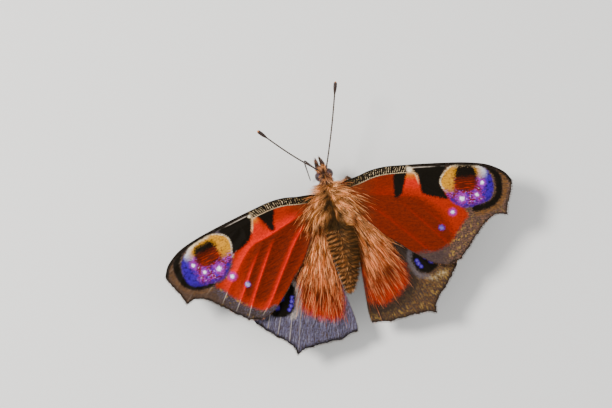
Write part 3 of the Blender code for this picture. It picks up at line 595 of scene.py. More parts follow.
def finish_piece(obj, slot, material, *nodes):
    """Gives a piece its material, hangs it under the root and hides the nodes that it stands for. The slot is
    not used.
    """
    if material is not None:
        obj.data.materials.clear()
        obj.data.materials.append(material)
    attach(obj, "root")
    if nodes:
        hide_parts(*nodes)
    return obj

def lofted_piece(name, node, slot, material, route, radii, sides, values=None):
    """A lofted part that stands for one node, with values stored for each point of its route."""
    mesh = mesh_of(node, *loft(route, radii, sides))
    for label, steps in (values or {}).items():
        write_values(mesh, label, [*np.repeat(steps, sides), steps[0], steps[-1]])
    finish_piece(new_object(name, mesh), slot, material, node)


# Materials


class Wiring:
    """Adds nodes to one tree and joins them, so that a finish reads as a list of steps."""

    def __init__(self, tree):
        self.tree = tree

    def node(self, kind, settings=None, inputs=None):
        node = self.tree.nodes.new(kind)
        for name, value in (settings or {}).items():
            setattr(node, name, value)
        for key, value in (inputs or {}).items():
            self.put(node.inputs[key], value)
        return node

    def put(self, socket, value):
        """Links a socket to another one, or sets its own value."""
        if isinstance(value, bpy.types.NodeSocket):
            self.tree.links.new(value, socket)
        elif value is not None:
            if socket.type == "RGBA" and len(value) == 3:
                value = (*value, 1.0)
            socket.default_value = value

    def math(self, operation, a, b=None):
        return self.node("ShaderNodeMath", {"operation": operation}, {0: a, 1: b}).outputs[0]

    def add(self, a, b):
        return self.math("ADD", a, b)

    def times(self, product, *others):
        """The product of all the values."""
        for value in others:
            product = self.math("MULTIPLY", product, value)
        return product

    def vector(self, operation, a, b=None):
        second = 3 if operation == "SCALE" else 1
        node = self.node("ShaderNodeVectorMath", {"operation": operation}, {0: a, second: b})
        return node.outputs["Value" if operation == "DISTANCE" else "Vector"]

    def ramp(self, value, low, high, start=0.0, end=1.0):
        """A smooth step from start to end as the value goes from low to high."""
        if low > high:
            low, high, start, end = high, low, end, start
        node = self.node("ShaderNodeMapRange", {"interpolation_type": "SMOOTHSTEP"},
                         {0: value, 1: low, 2: high, 3: start, 4: end})
        return node.outputs[0]

    def ragged(self, value, noise, share, low, high, start=0.0, end=1.0):
        """A smooth step with a ragged edge. The value may be the name of a stored one."""
        if isinstance(value, str):
            value = self.value(value)
        return self.ramp(self.add(value, self.times(noise, share)), low, high, start, end)

    def mix(self, a, b, *shares, blend="MIX"):
        """The first colour with the second laid over it, by the product of the shares."""
        node = self.node("ShaderNodeMix", {"data_type": "RGBA", "blend_type": blend},
                         {0: self.times(*shares), 6: a, 7: b})
        return node.outputs[2]

    def shade(self, a, factor):
        """A colour made darker or lighter by a factor."""
        grey = self.node("ShaderNodeCombineColor", None, {0: factor, 1: factor, 2: factor})
        return self.mix(a, grey.outputs[0], 1.0, blend="MULTIPLY")

    def value(self, name, output="Fac"):
        return self.node("ShaderNodeAttribute", {"attribute_name": name}).outputs[output]

    def split(self, vector):
        return self.node("ShaderNodeSeparateXYZ", None, {0: vector}).outputs

    def combine(self, x, y, z):
        return self.node("ShaderNodeCombineXYZ", None, {0: x, 1: y, 2: z}).outputs[0]

    def noise(self, place, scale, detail=2.0):
        inputs = {"Vector": place, "Scale": scale, "Detail": detail}
        return self.node("ShaderNodeTexNoise", None, inputs).outputs["Fac"]

    def stretched(self, place, factors, scale, detail=2.0):
        """Noise that is drawn out along one way."""
        return self.noise(self.vector("MULTIPLY", place, factors), scale, detail)

    def cells(self, place, scale, output="Color"):
        return self.node("ShaderNodeTexVoronoi", None, {"Vector": place, "Scale": scale}).outputs[output]

    def group(self, tree, inputs):
        node = self.node("ShaderNodeGroup")
        node.node_tree = tree
        for key, value in inputs.items():
            self.put(node.inputs[key], value)
        return node.outputs


def new_material(name, roughness, specular):
    """A material with its constant settings in place, and the wiring for the rest."""
    material = bpy.data.materials.new(name)
    material.use_nodes = True
    shader = material.node_tree.nodes["Principled BSDF"]
    shader.inputs["Roughness"].default_value = roughness
    shader.inputs["Specular IOR Level"].default_value = specular
    return material, Wiring(material.node_tree), shader


def close_finish(w, shader, colours, height, strength, depth, invert=False):
    """Ends a finish with its colour, and the bump of its relief."""
    w.put(shader.inputs["Base Color"], colours)
    bump = w.node("ShaderNodeBump", {"invert": invert},
                  {"Strength": strength, "Distance": depth, "Height": height})
    w.put(shader.inputs["Normal"], bump.outputs[0])


def group_tree(name, kind, inputs, outputs):
    """An empty node group with named inputs and outputs. An input may have a default."""
    tree = bpy.data.node_groups.new(name, kind)
    for label, socket_kind, *default in inputs:
        socket = tree.interface.new_socket(label, in_out="INPUT", socket_type=f"NodeSocket{socket_kind}")
        if default:
            socket.default_value = default[0]
    for label, socket_kind in outputs:
        tree.interface.new_socket(label, in_out="OUTPUT", socket_type=f"NodeSocket{socket_kind}")
    given = tree.nodes.new("NodeGroupInput").outputs
    return tree, Wiring(tree), given, tree.nodes.new("NodeGroupOutput").inputs


def scale_grain_group():
    """Rows of tiny scales: each has its own brightness, and a soft relief. The place is in millimetres."""
    if "scale_grain" in bpy.data.node_groups:
        return bpy.data.node_groups["scale_grain"]
    tree, w, given, out = group_tree(
        "scale_grain", "ShaderNodeTree",
        [("Color", "Color"), ("Place", "Vector"), ("Scales", "Float", 6.5), ("Contrast", "Float", 0.45)],
        [("Color", "Color"), ("Height", "Float")])
    stretched = w.vector("MULTIPLY", given["Place"], (0.6, 1.3, 1.0))
    one = w.split(w.cells(stretched, given["Scales"]))[0]
    fine = w.noise(given["Place"], w.times(given["Scales"], 0.35), 3.0)
    level = w.add(w.times(w.add(one, -0.5), given["Contrast"]), w.times(w.add(fine, -0.5), 0.5))
    w.put(out["Color"], w.shade(given["Color"], w.add(level, 1.0)))
    w.put(out["Height"], w.add(w.times(one, 0.6), fine))
    return tree


def halo_spot_group():
    """A small pale spot with a halo, laid over a colour at a place in millimetres."""
    if "halo_spot" in bpy.data.node_groups:
        return bpy.data.node_groups["halo_spot"]
    tree, w, given, out = group_tree(
        "halo_spot", "ShaderNodeTree",
        [("Color", "Color"), ("Place", "Vector"), ("Centre", "Vector"), ("Radius", "Float", 0.4),
         ("Inner", "Color"), ("Halo", "Color"), ("Halo width", "Float", 2.7)],
        [("Color", "Color")])
    ragged = w.times(w.add(w.noise(given["Place"], 4.0, 3.0), -0.5), 1.6)
    distance = w.vector("DISTANCE", given["Place"], given["Centre"])
    gap = w.add(w.math("DIVIDE", distance, given["Radius"]), ragged)
    fading = w.node("ShaderNodeMapRange", {"interpolation_type": "SMOOTHSTEP"},
                    {0: gap, 1: 0.7, 2: given["Halo width"], 3: 0.85, 4: 0.0})
    halo = w.mix(given["Color"], given["Halo"], fading.outputs[0])
    w.put(out["Color"], w.mix(halo, given["Inner"], w.ramp(gap, 1.15, 0.25)))
    return tree


def halo_spots(w, whole, place, spots, inner, halo, halo_width):
    """Lays small round spots over a wing's colour. Each is given by its x, y and radius."""
    for x, y, radius in spots:
        inputs = {"Color": whole, "Place": place, "Centre": (x, y, 0.0), "Radius": radius, "Inner": inner,
                  "Halo": halo, "Halo width": halo_width}
        whole = w.group(halo_spot_group(), inputs)["Color"]
    return whole


def object_place(w):
    """The place in the object's own frame, in millimetres."""
    return w.vector("SCALE", w.node("ShaderNodeTexCoord").outputs["Object"], 1 / MM)


def plane_place(w):
    """The place on a wing in its own frame, in millimetres, from its UV map."""
    uv = w.node("ShaderNodeUVMap", {"uv_map": "wing_plane"}).outputs[0]
    return w.vector("SUBTRACT", w.vector("SCALE", uv, PLANE_SPAN), (*PLANE_OFFSET, 0.0))


def wing_fields(w, broad_share):
    """What a wing's finish starts from: the place, its x and y, and fine, broad and joint noise."""
    place = plane_place(w)
    parts = w.split(place)
    fine = w.add(w.noise(place, 4.0, 3.0), -0.5)
    broad = w.add(w.noise(place, 0.9), -0.5)
    return place, parts[0], parts[1], fine, broad, w.add(w.times(fine, 1.1), w.times(broad, broad_share))


def close_scales(w, shader, colours, place, contrast=0.45):
    """Ends a wing's finish with the grain of its scales."""
    grain = w.group(scale_grain_group(), {"Color": colours, "Place": place, "Contrast": contrast})
    close_finish(w, shader, grain["Color"], grain["Height"], 0.35, 0.03 * MM)


def forewing_red(w, side, tone, fields, streaky):
    """The red field, darker in its middle and at its root, with a painted highlight on the lit veins and a
    pale wedge.
    """
    _, x, y, fine, _, rag = fields
    dark_red = w.mix(tone.mahogany, tone.black, w.ramp(streaky, 0.4, 0.7), 0.25 if side == "right" else 0.5)
    red = w.mix(dark_red, tone.red, w.ragged("mahogany", rag, 1.3, 0.5, -1.3))
    if side == "right":
        red = w.mix(red, dark_red, w.ragged(x, rag, 1.0, 9.4, 7.6), 0.8)
    else:
        red = w.mix(red, tone.red, w.ragged("red", rag, 2.0, 2.2, 0.6), 0.45)
    # Painted highlight: flame red on the veins and folds that catch the light
    red = w.mix(red, tone.flame, w.value("lit"))
    red = w.mix(w.mix(tone.fur_dark, tone.red, 0.3), red, w.ragged(x, rag, 3.0, 0.0, 6.0))
    red = w.mix(red, tone.flame, w.ramp(y, -2.0, 0.0), w.ramp(x, 9.6, 10.6), w.ramp(x, 13.6, 12.6), 0.5)
    red = w.mix(red, w.mix(tone.ochre, tone.cream, w.ramp(y, 1.2, 2.6)), w.ragged(y, rag, 1.0, 0.2, 2.2),
                w.ramp(x, 9.6, 10.6), w.ramp(x, 13.0, 12.4), 0.85)
    return w.mix(red, w.mix(tone.ochre, tone.cream, 0.5), w.ragged("black_outer", fine, 0.3, -0.5, -0.15),
                 w.ramp(x, 13.2, 12.4), w.ramp(y, -0.8, 0.4), 0.75)


def forewing_border(w, side, tone, fields, striae):
    """The brown border inside its rim: fine lines across it, flecks and pale veins."""
    place, x, y, fine, broad, _ = fields
    flecks = w.split(w.cells(place, 3.1))
    border = w.mix(tone.brown, w.mix(tone.grey, tone.brown, 0.3), w.ragged(striae, fine, 1.0, 0.45, 0.62))
    if side == "right":
        border = w.mix(border, tone.tan, w.ragged(striae, fine, 0.8, 0.42, 0.62), 0.7)
        border = w.mix(border, tone.gold, w.ramp(flecks[0], 0.72, 0.86),
                       w.ramp(w.noise(place, 0.8), 0.35, 0.6), w.ramp(w.value("red"), -4.5, -1.0, 0.35, 0.75))
        slate = w.mix(w.mix(tone.brown, tone.tan, 0.2), w.mix(tone.grey, tone.black, 0.7), 0.45)
        return w.mix(border, slate, w.ragged(y, broad, 1.5, -9.8, -11.6), w.ramp(x, 18.6, 16.5), 0.9)
    border = w.mix(border, tone.gold, w.ramp(flecks[1], 0.9, 0.97), 0.8)
    border = w.mix(border, w.mix(tone.cream, tone.grey, 0.6), w.ramp(w.value("vein"), 0.1, 0.02))
    border = w.mix(border, tone.brown, w.ragged("from_margin", broad, 1.0, 2.2, 0.8), 0.6)
    return w.mix(border, w.mix(tone.brown, tone.tan, 0.2), w.ragged(x, broad, 1.0, 21.0, 24.0), 0.75)


def forewing_eyespot(w, tone, fields, streaky):
    """The eyespot: violet and blue bars, an ochre crescent, a pale top and a dark core."""
    place, x, y, fine, _, rag = fields
    bars = w.ramp(w.stretched(place, (0.9, 2.2, 1.0), 1.7), 0.48, 0.58)
    spot = w.mix(tone.mahogany, tone.violet, bars)
    spot = w.mix(spot, tone.blue, w.ragged(w.noise(place, 1.4), fine, 0.7, 0.5, 0.66))
    spot = w.mix(spot, w.mix(tone.violet, tone.white, 0.5), w.ramp(w.noise(place, 2.7, 3.0), 0.6, 0.72), 0.7)
    deep = w.mix(tone.blue, tone.black, w.ramp(w.noise(place, 2.1, 3.0), 0.5, 0.62), 0.7)
    spot = w.mix(spot, deep, w.ragged(x, rag, 1.4, 23.4, 24.6))
    spot = w.mix(spot, w.mix(tone.blue, tone.black, 0.4), w.ramp(w.value("eyespot"), 1.0, 0.3),
                 w.ramp(y, -2.2, -3.4), 0.7)
    bright = w.mix(tone.ochre, tone.cream, w.ragged("eyespot", fine, 1.0, 0.9, 0.1))
    bright = w.mix(bright, w.mix(tone.grey, tone.white, 0.4), w.ramp(x, 22.6, 24.4))
    spot = w.mix(spot, bright, w.ragged(y, rag, 1.4, 0.0, 1.4), w.ragged(x, rag, 1.4, 25.1, 23.9))
    crescent = w.mix(tone.ochre, tone.cream, w.ragged("eyespot", fine, 0.6, 0.36, 0.05))
    crescent = w.mix(crescent, tone.tan, w.ramp(w.noise(place, 2.4, 3.0), 0.5, 0.68), 0.75)
    spot = w.mix(spot, crescent, w.ragged(x, rag, 1.2, 19.7, 18.6), w.ragged(y, rag, 1.2, -2.4, -0.9))
    core = w.mix(tone.mahogany, tone.black, w.ramp(streaky, 0.4, 0.6, 0.1, 0.55))
    core = w.mix(core, tone.black, w.ragged(y, rag, 1.4, -0.1, 1.2))
    core = w.mix(core, tone.red, w.ramp(streaky, 0.5, 0.36), w.ramp(y, 0.4, -0.8))
    return w.mix(spot, core, w.ragged("core", rag, 1.5, -0.5, 0.55))


def forewing_front(w, whole, tone, fields, striae):
    """Lays the front edge over a colour: a comb of pale lines at the root, then black with a pale streak of
    painted sheen.
    """
    _, x, _, fine, broad, rag = fields
    edge = w.value("from_costa")
    run = w.value("costa_run")
    wave = w.math("SINE", w.times(w.add(w.add(run, w.times(edge, 0.3)), w.times(broad, 0.7)), 15.5))
    pale = w.mix(tone.cream, tone.ochre, 0.35)
    comb = w.mix(tone.black, pale, w.ragged(wave, fine, 2.2, 0.75, 1.2))
    mottled = w.mix(tone.skin, tone.gold, w.ragged(w.times(wave, 0.5), fine, 3.0, 0.3, 1.0))
    comb = w.mix(mottled, comb, w.ramp(run, 3.0, 7.5))
    comb = w.mix(comb, tone.black, w.ragged(edge, fine, 0.3, 0.3, 0.12))
    comb = w.mix(comb, pale, w.ramp(w.math("ABSOLUTE", w.add(edge, -1.38)), 0.1, 0.0), w.ramp(run, 2.5, 6.0),
                 w.ramp(fine, -0.25, 0.1, 0.3, 0.8))
    whole = w.mix(whole, comb, w.ragged(edge, rag, 0.15, 1.55, 1.4), w.ramp(x, 11.2, 10.4))
    whole = w.mix(whole, w.mix(tone.black, tone.brown, w.ramp(striae, 0.45, 0.65), 0.6),
                  w.ragged(edge, rag, 0.5, 0.8, 0.35), w.ramp(x, 10.4, 11.4))
    # Painted sheen: a pale grey streak along the black front edge
    streak = w.ramp(w.math("ABSOLUTE", w.add(edge, -0.62)), 0.13, 0.03)
    return w.mix(whole, w.mix(tone.grey, tone.cream, 0.4), streak, w.ramp(x, 11.0, 12.0),
                 w.ragged(x, broad, 6.0, 17.5, 13.0), 0.8)


def forewing_finish(side, tone):
    """The upper face of a forewing."""
    right = side == "right"
    material, w, shader = new_material(f"forewing_{side}_scales", 0.7, 0.06)
    fields = wing_fields(w, 0.5)
    place, rag = fields[0], fields[-1]
    streaky = w.stretched(place, (0.35, 3.0, 1.0), 1.6, 3.0)
    striae = w.stretched(place, (0.4, 2.6, 1.0), 3.0, 3.0)
    rim = w.ragged("from_margin", rag, 0.9, 0.0, 0.55)
    border = forewing_border(w, side, tone, fields, striae)
    border = w.mix(w.mix(tone.black, tone.brown, 0.55 if right else 0.15), border, rim)
    whole = w.mix(border, forewing_red(w, side, tone, fields, streaky), w.ragged("red", rag, 1.4, -0.5, 0.35))
    whole = w.mix(whole, w.mix(tone.brown, tone.tan, w.ramp(striae, 0.35, 0.6)),
                  w.ragged("tan_band", rag, 0.6, 0.7, 0.2), rim, 0.8 if right else 0.35)
    whole = w.mix(whole, tone.black, w.ragged("ring", rag, 0.7, 0.85, 0.35))
    patches = [w.ragged(patch, rag, 0.8, -0.3, 0.2) for patch in ("black_inner", "black_outer")]
    whole = w.mix(whole, tone.black, w.math("MAXIMUM", *patches))
    eyespot = forewing_eyespot(w, tone, fields, streaky)
    whole = w.mix(whole, eyespot, w.ragged("eyespot", rag, 0.6, -0.15, 0.3))
    whole = halo_spots(w, whole, place, FORE_SPOTS[side], tone.white, tone.violet, 2.7)
    pale_blue = w.mix(tone.blue, tone.white, 0.1 if right else 0.35)
    whole = halo_spots(w, whole, place, [PLAIN_SPOTS[side]], pale_blue, tone.blue, 1.35)
    whole = forewing_front(w, whole, tone, fields, striae)
    whole = halo_spots(w, whole, place, [CORNER_SPOTS[side]], tone.cream, tone.cream, 1.8)
    close_scales(w, shader, whole, place)
    return material


def hindwing_finish(side, tone):
    """The upper face of a hindwing."""
    right = side == "right"
    material, w, shader = new_material(f"hindwing_{side}_scales", 0.72, 0.06)
    place, x, y, fine, broad, rag = wing_fields(w, 0.7)
    streaky = w.stretched(place, (0.3, 3.0, 1.0), 1.8, 3.0)
    striae = w.stretched(place, (0.3, 3.2, 1.0), 2.6, 4.0)
    red = w.mix(tone.red, tone.flame, w.ramp(streaky, 0.4, 0.65), 0.2 if right else 0.45)
    red = w.mix(w.mix(tone.fur_dark, tone.mahogany, 0.5), red, w.ragged(x, rag, 2.5, 6.0, 14.0))
    if right:
        flecks = w.split(w.cells(w.vector("MULTIPLY", place, (0.7, 1.2, 1.0)), 3.6))[0]
        border = w.mix(tone.brown, tone.tan, w.ragged(striae, fine, 1.0, 0.42, 0.66), 0.6)
        border = w.mix(border, tone.gold, w.ramp(flecks, 0.74, 0.88),
                       w.ragged("from_margin", broad, 1.5, 0.6, 2.2, 0.65, 0.25))
        border = w.mix(border, w.mix(tone.brown, tone.black, 0.6),
                       w.ragged("red", rag, 1.6, -3.4, -1.2), 0.85)
    else:
        # The left border is partly grey scales and partly painted sheen; the paler grey-white streaks over it
        # are painted sheen
        border = w.mix(tone.brown, tone.grey, w.ragged(striae, fine, 0.8, 0.36, 0.56))
        border = w.mix(border, w.mix(tone.grey, tone.white, 0.16), w.ramp(streaky, 0.52, 0.68), 0.5)
        border = w.mix(border, w.mix(tone.grey, tone.cream, 0.4), w.ramp(w.value("vein"), 0.12, 0.02),
                       w.ramp(y, -1.5, 2.0, 0.0, 0.6))
    rim = w.ragged("from_margin", rag, 0.6, 0.02, 0.8)
    border = w.mix(w.mix(tone.black, tone.brown, 0.5 if right else 0.1), border, rim)
    whole = w.mix(border, red, w.ragged("red", rag, 2.2, -1.0, 0.6))
    whole = w.mix(whole, w.mix(tone.black, tone.brown, 0.5), w.ragged(y, rag, 1.0, 1.4, 2.6),
                  w.ramp(x, 18.2, 16.6))
    whole = w.mix(whole, w.mix(tone.grey, tone.cream, 0.12 if right else 0.3),
                  w.ragged("ring", rag, 1.0, 0.75, 0.05), 0.3 if right else 0.75)
    if right:
        patch = w.mix(tone.gold, w.mix(tone.cream, tone.gold, 0.6),
                      w.ramp(w.noise(place, 2.5, 3.0), 0.4, 0.6))
        whole = w.mix(whole, patch, w.ragged("tan_patch", rag, 1.4, -0.3, 0.9), 0.7)
    whole = w.mix(whole, tone.black, w.ragged("eyespot", rag, 0.7, -0.25, 0.2))
    whole = halo_spots(w, whole, place, HIND_SPOTS[side], w.mix(tone.blue, tone.white, 0.06), tone.blue, 1.6)
    close_scales(w, shader, whole, place, 0.5)
    return material


def underside_finish(tone):
    """The dark underside, with fine wavy lines across it."""
    material, w, shader = new_material("wing_underside", 0.7, 0.2)
    place = plane_place(w)
    bend = w.times(w.add(w.noise(place, 0.5, 3.0), -0.5), 6.0)
    wave = w.math("SINE", w.times(w.add(w.split(place)[0], bend), 5.2))
    lines = w.mix(tone.under, tone.brown, w.ragged(wave, w.noise(place, 3.0), 1.0, 0.7, 1.5))
    bands = w.mix(lines, tone.black, w.ramp(w.stretched(place, (1.0, 0.3, 1.0), 0.35), 0.45, 0.6))
    close_scales(w, shader, bands, place, 0.6)
    return material


def coat_colours(w, tone, place, warm, reddish, mauve, patchy=1.3):
    """The colour of the coat at a place, from dark along the back to orange-brown at the sides. The warmth
    that it reads holds painted light and shade.
    """
    patches = w.noise(place, 1.1)
    warmth = w.add(warm, w.times(w.add(patches, -0.5), patchy))
    base = w.mix(tone.fur_dark, tone.fur, w.ramp(warmth, 0.2, 0.75))
    shadow = w.add(w.times(patches, -1.0), w.times(warm, -0.7))
    base = w.mix(base, tone.black, w.ramp(shadow, -0.52, -0.34), 0.55)
    base = w.mix(base, tone.mauve, w.ramp(w.noise(place, 2.3), 0.35, 0.6), mauve)
    return w.mix(base, w.mix(tone.fur, tone.flame, 0.7), reddish)


def fur_finish(name, tone, patchy=1.3):
    """Hair: coloured by where its root is, with painted shade and light: dark at the root, where the coat
    shades it, and paler at the tip.
    """
    material, w, shader = new_material(name, 0.6, 0.12)
    tint = w.value("tint")
    warm = w.value("warm")
    reddish = w.value("reddish")
    place = w.vector("SCALE", w.value("root", "Vector"), 1 / MM)
    base = coat_colours(w, tone, place, warm, w.times(reddish, 0.7), w.value("mauve"), patchy)
    clump = w.times(w.add(w.stretched(place, (1.8, 0.6, 1.0), 1.9), -0.5), patchy)
    pale = w.times(w.ragged(tint, clump, 1.3, 0.64, 0.84), w.ramp(warm, 0.3, 0.8))
    base = w.mix(base, tone.fur_pale, pale, w.math("SUBTRACT", 0.95, w.times(reddish, 0.55)))
    base = w.mix(base, tone.fur_dark, w.ragged(tint, clump, 1.0, 0.4, 0.18), 0.85)
    # Painted light and shade on each strand: darker towards its root, where the coat shades it, lighter in
    # some wisps and on the pale strands; the random tint and the reddish share also set how bright it is
    light = w.add(w.times(w.value("along"), 0.75), w.add(w.times(tint, 0.6), 0.22))
    light = w.add(w.times(light, w.ramp(clump, -0.22, 0.16, 0.35, 1.4)), w.times(pale, 0.4))
    light = w.times(light, w.ramp(reddish, 0.65, 1.0, 1.2, 0.75))
    w.put(shader.inputs["Base Color"], w.shade(base, light))
    return material


def mottled_finish(name, base, second, roughness, scale, strength):
    """A fine mottled finish for scaled parts."""
    material, w, shader = new_material(name, roughness, 0.4)
    mottled = w.noise(object_place(w), scale, 4.0)
    close_finish(w, shader, w.mix(base, second, w.ramp(mottled, 0.4, 0.65)), mottled, strength, 0.02 * MM)
    return material


# Wings


def wing_margins(name, curve_step, rim_step, nick=0.0):
    """A wing's front edge, its scalloped outer margin and its inner edge."""
    costa, outer, inner = WING_EDGES[name.split("_")[0]]
    random = np.random.default_rng(MARGIN_SEEDS[name])
    return (smooth_curve(costa, curve_step), scalloped(outer, rim_step, nick, random),
            smooth_curve(inner, curve_step))


def ring_edges(count):
    """The edges of a closed line through the first points."""
    return [(i, (i + 1) % count) for i in range(count)]


def wing_points(outline, veins, sizes):
    """The plan of a wing's mesh: its points, and the edges that the triangles have to keep."""
    coords = list(outline)
    edges = ring_edges(len(outline))
    closed = outline + outline[:1]
    step = sizes.mesh_step / MM
    for line in veins:
        line = np.array(line)
        run = []
        keep = inside(line, outline) & (line_distance(line, closed)[0] > VEIN_MARGIN)
        for point, good in zip(line, keep):
            if good:
                run.append(point)
            elif run:
                break
        if len(run) > 1:
            first = len(coords)
            coords += run
            edges += [(i, i + 1) for i in range(first, len(coords) - 1)]
    low, high = np.min(outline, axis=0), np.max(outline, axis=0)
    grid = np.array([(gx + (row % 2) * step / 2, gy)
                     for row, gy in enumerate(np.arange(low[1], high[1], step * 0.87))
                     for gx in np.arange(low[0], high[0], step)])
    clear = inside(grid, outline) & (line_distance(grid, closed)[0] > step * 0.6)
    clear &= nearest_gap(grid, veins) > sizes.vein_width / MM * 0.85
    coords.extend(grid[clear])
    return coords, edges


def triangulated(coords, edges, rim_count):
    """Points and triangles that fill the outline through the first points."""
    rim = [list(range(rim_count))]
    found, _, faces = delaunay_2d_cdt([Vector(p) for p in coords], edges, rim, 1, 1e-4)[:3]
    return np.array([tuple(p) for p in found]), faces


def wing_values(name, flat, margins, veins):
    """What a wing's finish reads at each point: depths inside its marks, and distances from its lines."""
    kind, side = name.split("_")
    front, rim, back = margins
    values = {mark: depth_inside(flat, outline) for mark, outline in WING_MARKS[kind][side].items()}
    values["from_margin"] = line_distance(flat, rim + back[:1])[0]
    values["vein"] = nearest_gap(flat, veins.values())
    if kind == "forewing":
        values["mahogany"] = depth_inside(flat, MAHOGANY)
        values["from_costa"], values["costa_run"], _ = line_distance(flat, front)
        values["tan_band"] = line_distance(flat, smooth_curve(TAN_BAND, MARK_STEP))[0]
        # The painted highlight where the folds catch the light
        values["lit"] = lit_folds(flat, veins, side)
    else:
        values["tan_patch"] = depth_inside(flat, TAN_PATCH)
    ring = EYESPOT_RING if kind == "forewing" else HIND_RING[side]
    values["ring"] = line_distance(flat, smooth_curve(ring, MARK_STEP))[0]
    return values


def lit_folds(flat, veins, side):
    """Painted highlight where the red is brighter: a crisp line on each raised vein, fading out ahead of it.
    """
    glow = np.zeros(len(flat))
    for vein, (width, share) in LIT_VEINS.items():
        gap, run, ahead = line_distance(flat, veins[vein])
        crisp = 0.9 * np.exp(-((gap / 0.15) ** 2))
        soft = share * np.exp(-((gap / np.where(gap * ahead > 0, width, 0.14)) ** 2))
        glow = np.maximum(glow, np.maximum(crisp, soft) * np.clip((run - 2.0) / 5.0, 0, 1))
    return LIT_STRENGTH[side] * glow * np.clip((22.0 - flat[:, 0]) / 3.0, 0, 1)


def build_wing(name, sizes, upper, lower):
    """One wing: a thin sheet with raised veins, folds between them and a worn, scalloped margin."""
    kind, side = name.split("_")
    margins = wing_margins(name, CURVE_STEP, RIM_STEP, sizes.edge_wear / MM)
    front, rim, back = margins
    outline = front[:-1] + rim + back
    veins = {vein: smooth_curve(route, CURVE_STEP) for vein, route in WING_VEINS[kind].items()}
    flat, faces = triangulated(*wing_points(outline, veins.values(), sizes), len(outline))
    count = len(flat)
    loose = count - len({i for face in faces for i in face})
    if loose:
        raise RuntimeError(f"{name}: {loose} points of the wing join no face")
    values = wing_values(name, flat, margins, veins)
    rim_gap = line_distance(flat, outline + outline[:1])[0]
    pleat = (sizes.pleat_left if side == "left" else sizes.pleat_right) / MM
    sink = pleat * (1 - np.exp(-((values["vein"] / PLEAT_SLOPE) ** 2))) * np.clip(rim_gap / 1.2, 0, 1) ** 0.7
    ridge = np.clip(1 - values["vein"] / (sizes.vein_width / MM), 0, 1) * np.clip(rim_gap / 0.5, 0.15, 1)
    ridge *= sizes.vein_height / MM
    half = sizes.membrane / MM / 2 * np.clip(0.35 + rim_gap / 0.6, 0.35, 1)
    place = wing_to_body(name, flat)
    middle = sheet_height(name, place) - sink
    top = np.column_stack((place, middle + half + ridge))
    under = np.column_stack((place, middle - half - ridge / 2))
    used = {edge for a, b, c in faces for edge in ((a, b), (b, c), (c, a))}
    turned = side == "left"
    tops = facing(faces, turned)
    walls = facing([(b, a, a + count, b + count) for a, b in used if (b, a) not in used], turned)
    unders = facing([[i + count for i in face] for face in faces], not turned)
    mesh = mesh_of(name, np.vstack((top, under)), tops + walls + unders)
    mesh.materials.append(upper)
    mesh.materials.append(lower)
    indices = np.zeros(len(mesh.polygons), np.int32)
    indices[len(tops) + len(walls):] = 1
    mesh.polygons.foreach_set("material_index", indices)
    write_uv(mesh, "wing_plane", np.tile((flat + PLANE_OFFSET) / PLANE_SPAN, (2, 1)))
    for label, numbers in values.items():
        write_values(mesh, label, np.tile(numbers, 2))
    finish_piece(new_object(f"{name}_membrane", mesh), kind, None, name)


class BUTTERFLY_OT_wings(bpy.types.Operator):
    """Build the four wings with their veins, folds and markings"""

    bl_idname = "butterfly.wings"
    bl_label = "Wings"

    def execute(self, context):
        tone = context.scene.butterfly_colours
        sizes = context.scene.butterfly_wings
        lower = underside_finish(tone)
        for side in ("left", "right"):
            build_wing(f"forewing_{side}", sizes, forewing_finish(side, tone), lower)
            build_wing(f"hindwing_{side}", sizes, hindwing_finish(side, tone), lower)
        return {"FINISHED"}


# Body


def egg_mesh(bm, centre, half, turn=0.0, segments=40, rings=24):
    """Adds a stretched, turned ball to a bmesh in millimetres."""
    made = bmesh.ops.create_uvsphere(bm, u_segments=segments, v_segments=rings, radius=1.0)["verts"]
    bmesh.ops.rotate(bm, verts=made, matrix=Matrix.Rotation(math.radians(90), 3, "X"))
    bmesh.ops.scale(bm, verts=made, vec=half)
    bmesh.ops.rotate(bm, verts=made, matrix=Matrix.Rotation(turn, 3, "Z"))
    bmesh.ops.translate(bm, verts=made, vec=centre)


def body_skin():
    """One closed skin over the head, neck, thorax and abdomen, inside the coat's depth."""
    bm = bmesh.new()
    egg_mesh(bm, THORAX_CENTRE, [h - THORAX_INSET for h in THORAX_HALF])
    egg_mesh(bm, HEAD_CENTRE, [h - HEAD_INSET for h in HEAD_HALF], HEAD_TURN)
    egg_mesh(bm, head_place(FACE_CENTRE), FACE_HALF, HEAD_TURN)
    neck = along_route([HEAD_CENTRE, (HEAD_CENTRE + NECK_END) / 2, NECK_END], 0.5)
    shares = [min(0.995, i / ABDOMEN_STEPS) for i in range(ABDOMEN_STEPS + 1)]
    radii = [max(ABDOMEN_TIP_RADIUS, abdomen_radius(share) - ABDOMEN_INSET) for share in shares]
    parts = [loft(neck, [NECK_RADIUS] * len(neck), 20),
             loft([abdomen_axis(share) for share in shares], radii, 32, ABDOMEN_FLATNESS)]
    for points, faces in parts:
        verts = [bm.verts.new(p) for p in points]
        for face in faces:
            bm.faces.new([verts[i] for i in face])
    bmesh.ops.recalc_face_normals(bm, faces=bm.faces)
    obj = new_object("body_skin", mesh_from(bm, "skin"))
    remesh = obj.modifiers.new("remesh", "REMESH")
    remesh.mode = "VOXEL"
    remesh.voxel_size = SKIN_VOXEL
    soften = obj.modifiers.new("soften", "SMOOTH")
    soften.factor, soften.iterations = SKIN_SMOOTHING
    mesh = evaluated_mesh(obj)
    obj.modifiers.clear()
    obj.data = mesh
    return obj


def skin_regions(points):
    """Each skin point's shares of head, thorax and abdomen."""
    y = points[:, 1]
    head = np.clip((y - 4.1) / 0.6, 0, 1)
    abdomen = np.clip((-3.2 - y) / 0.8, 0, 1)
    return head, 1 - head - abdomen, abdomen


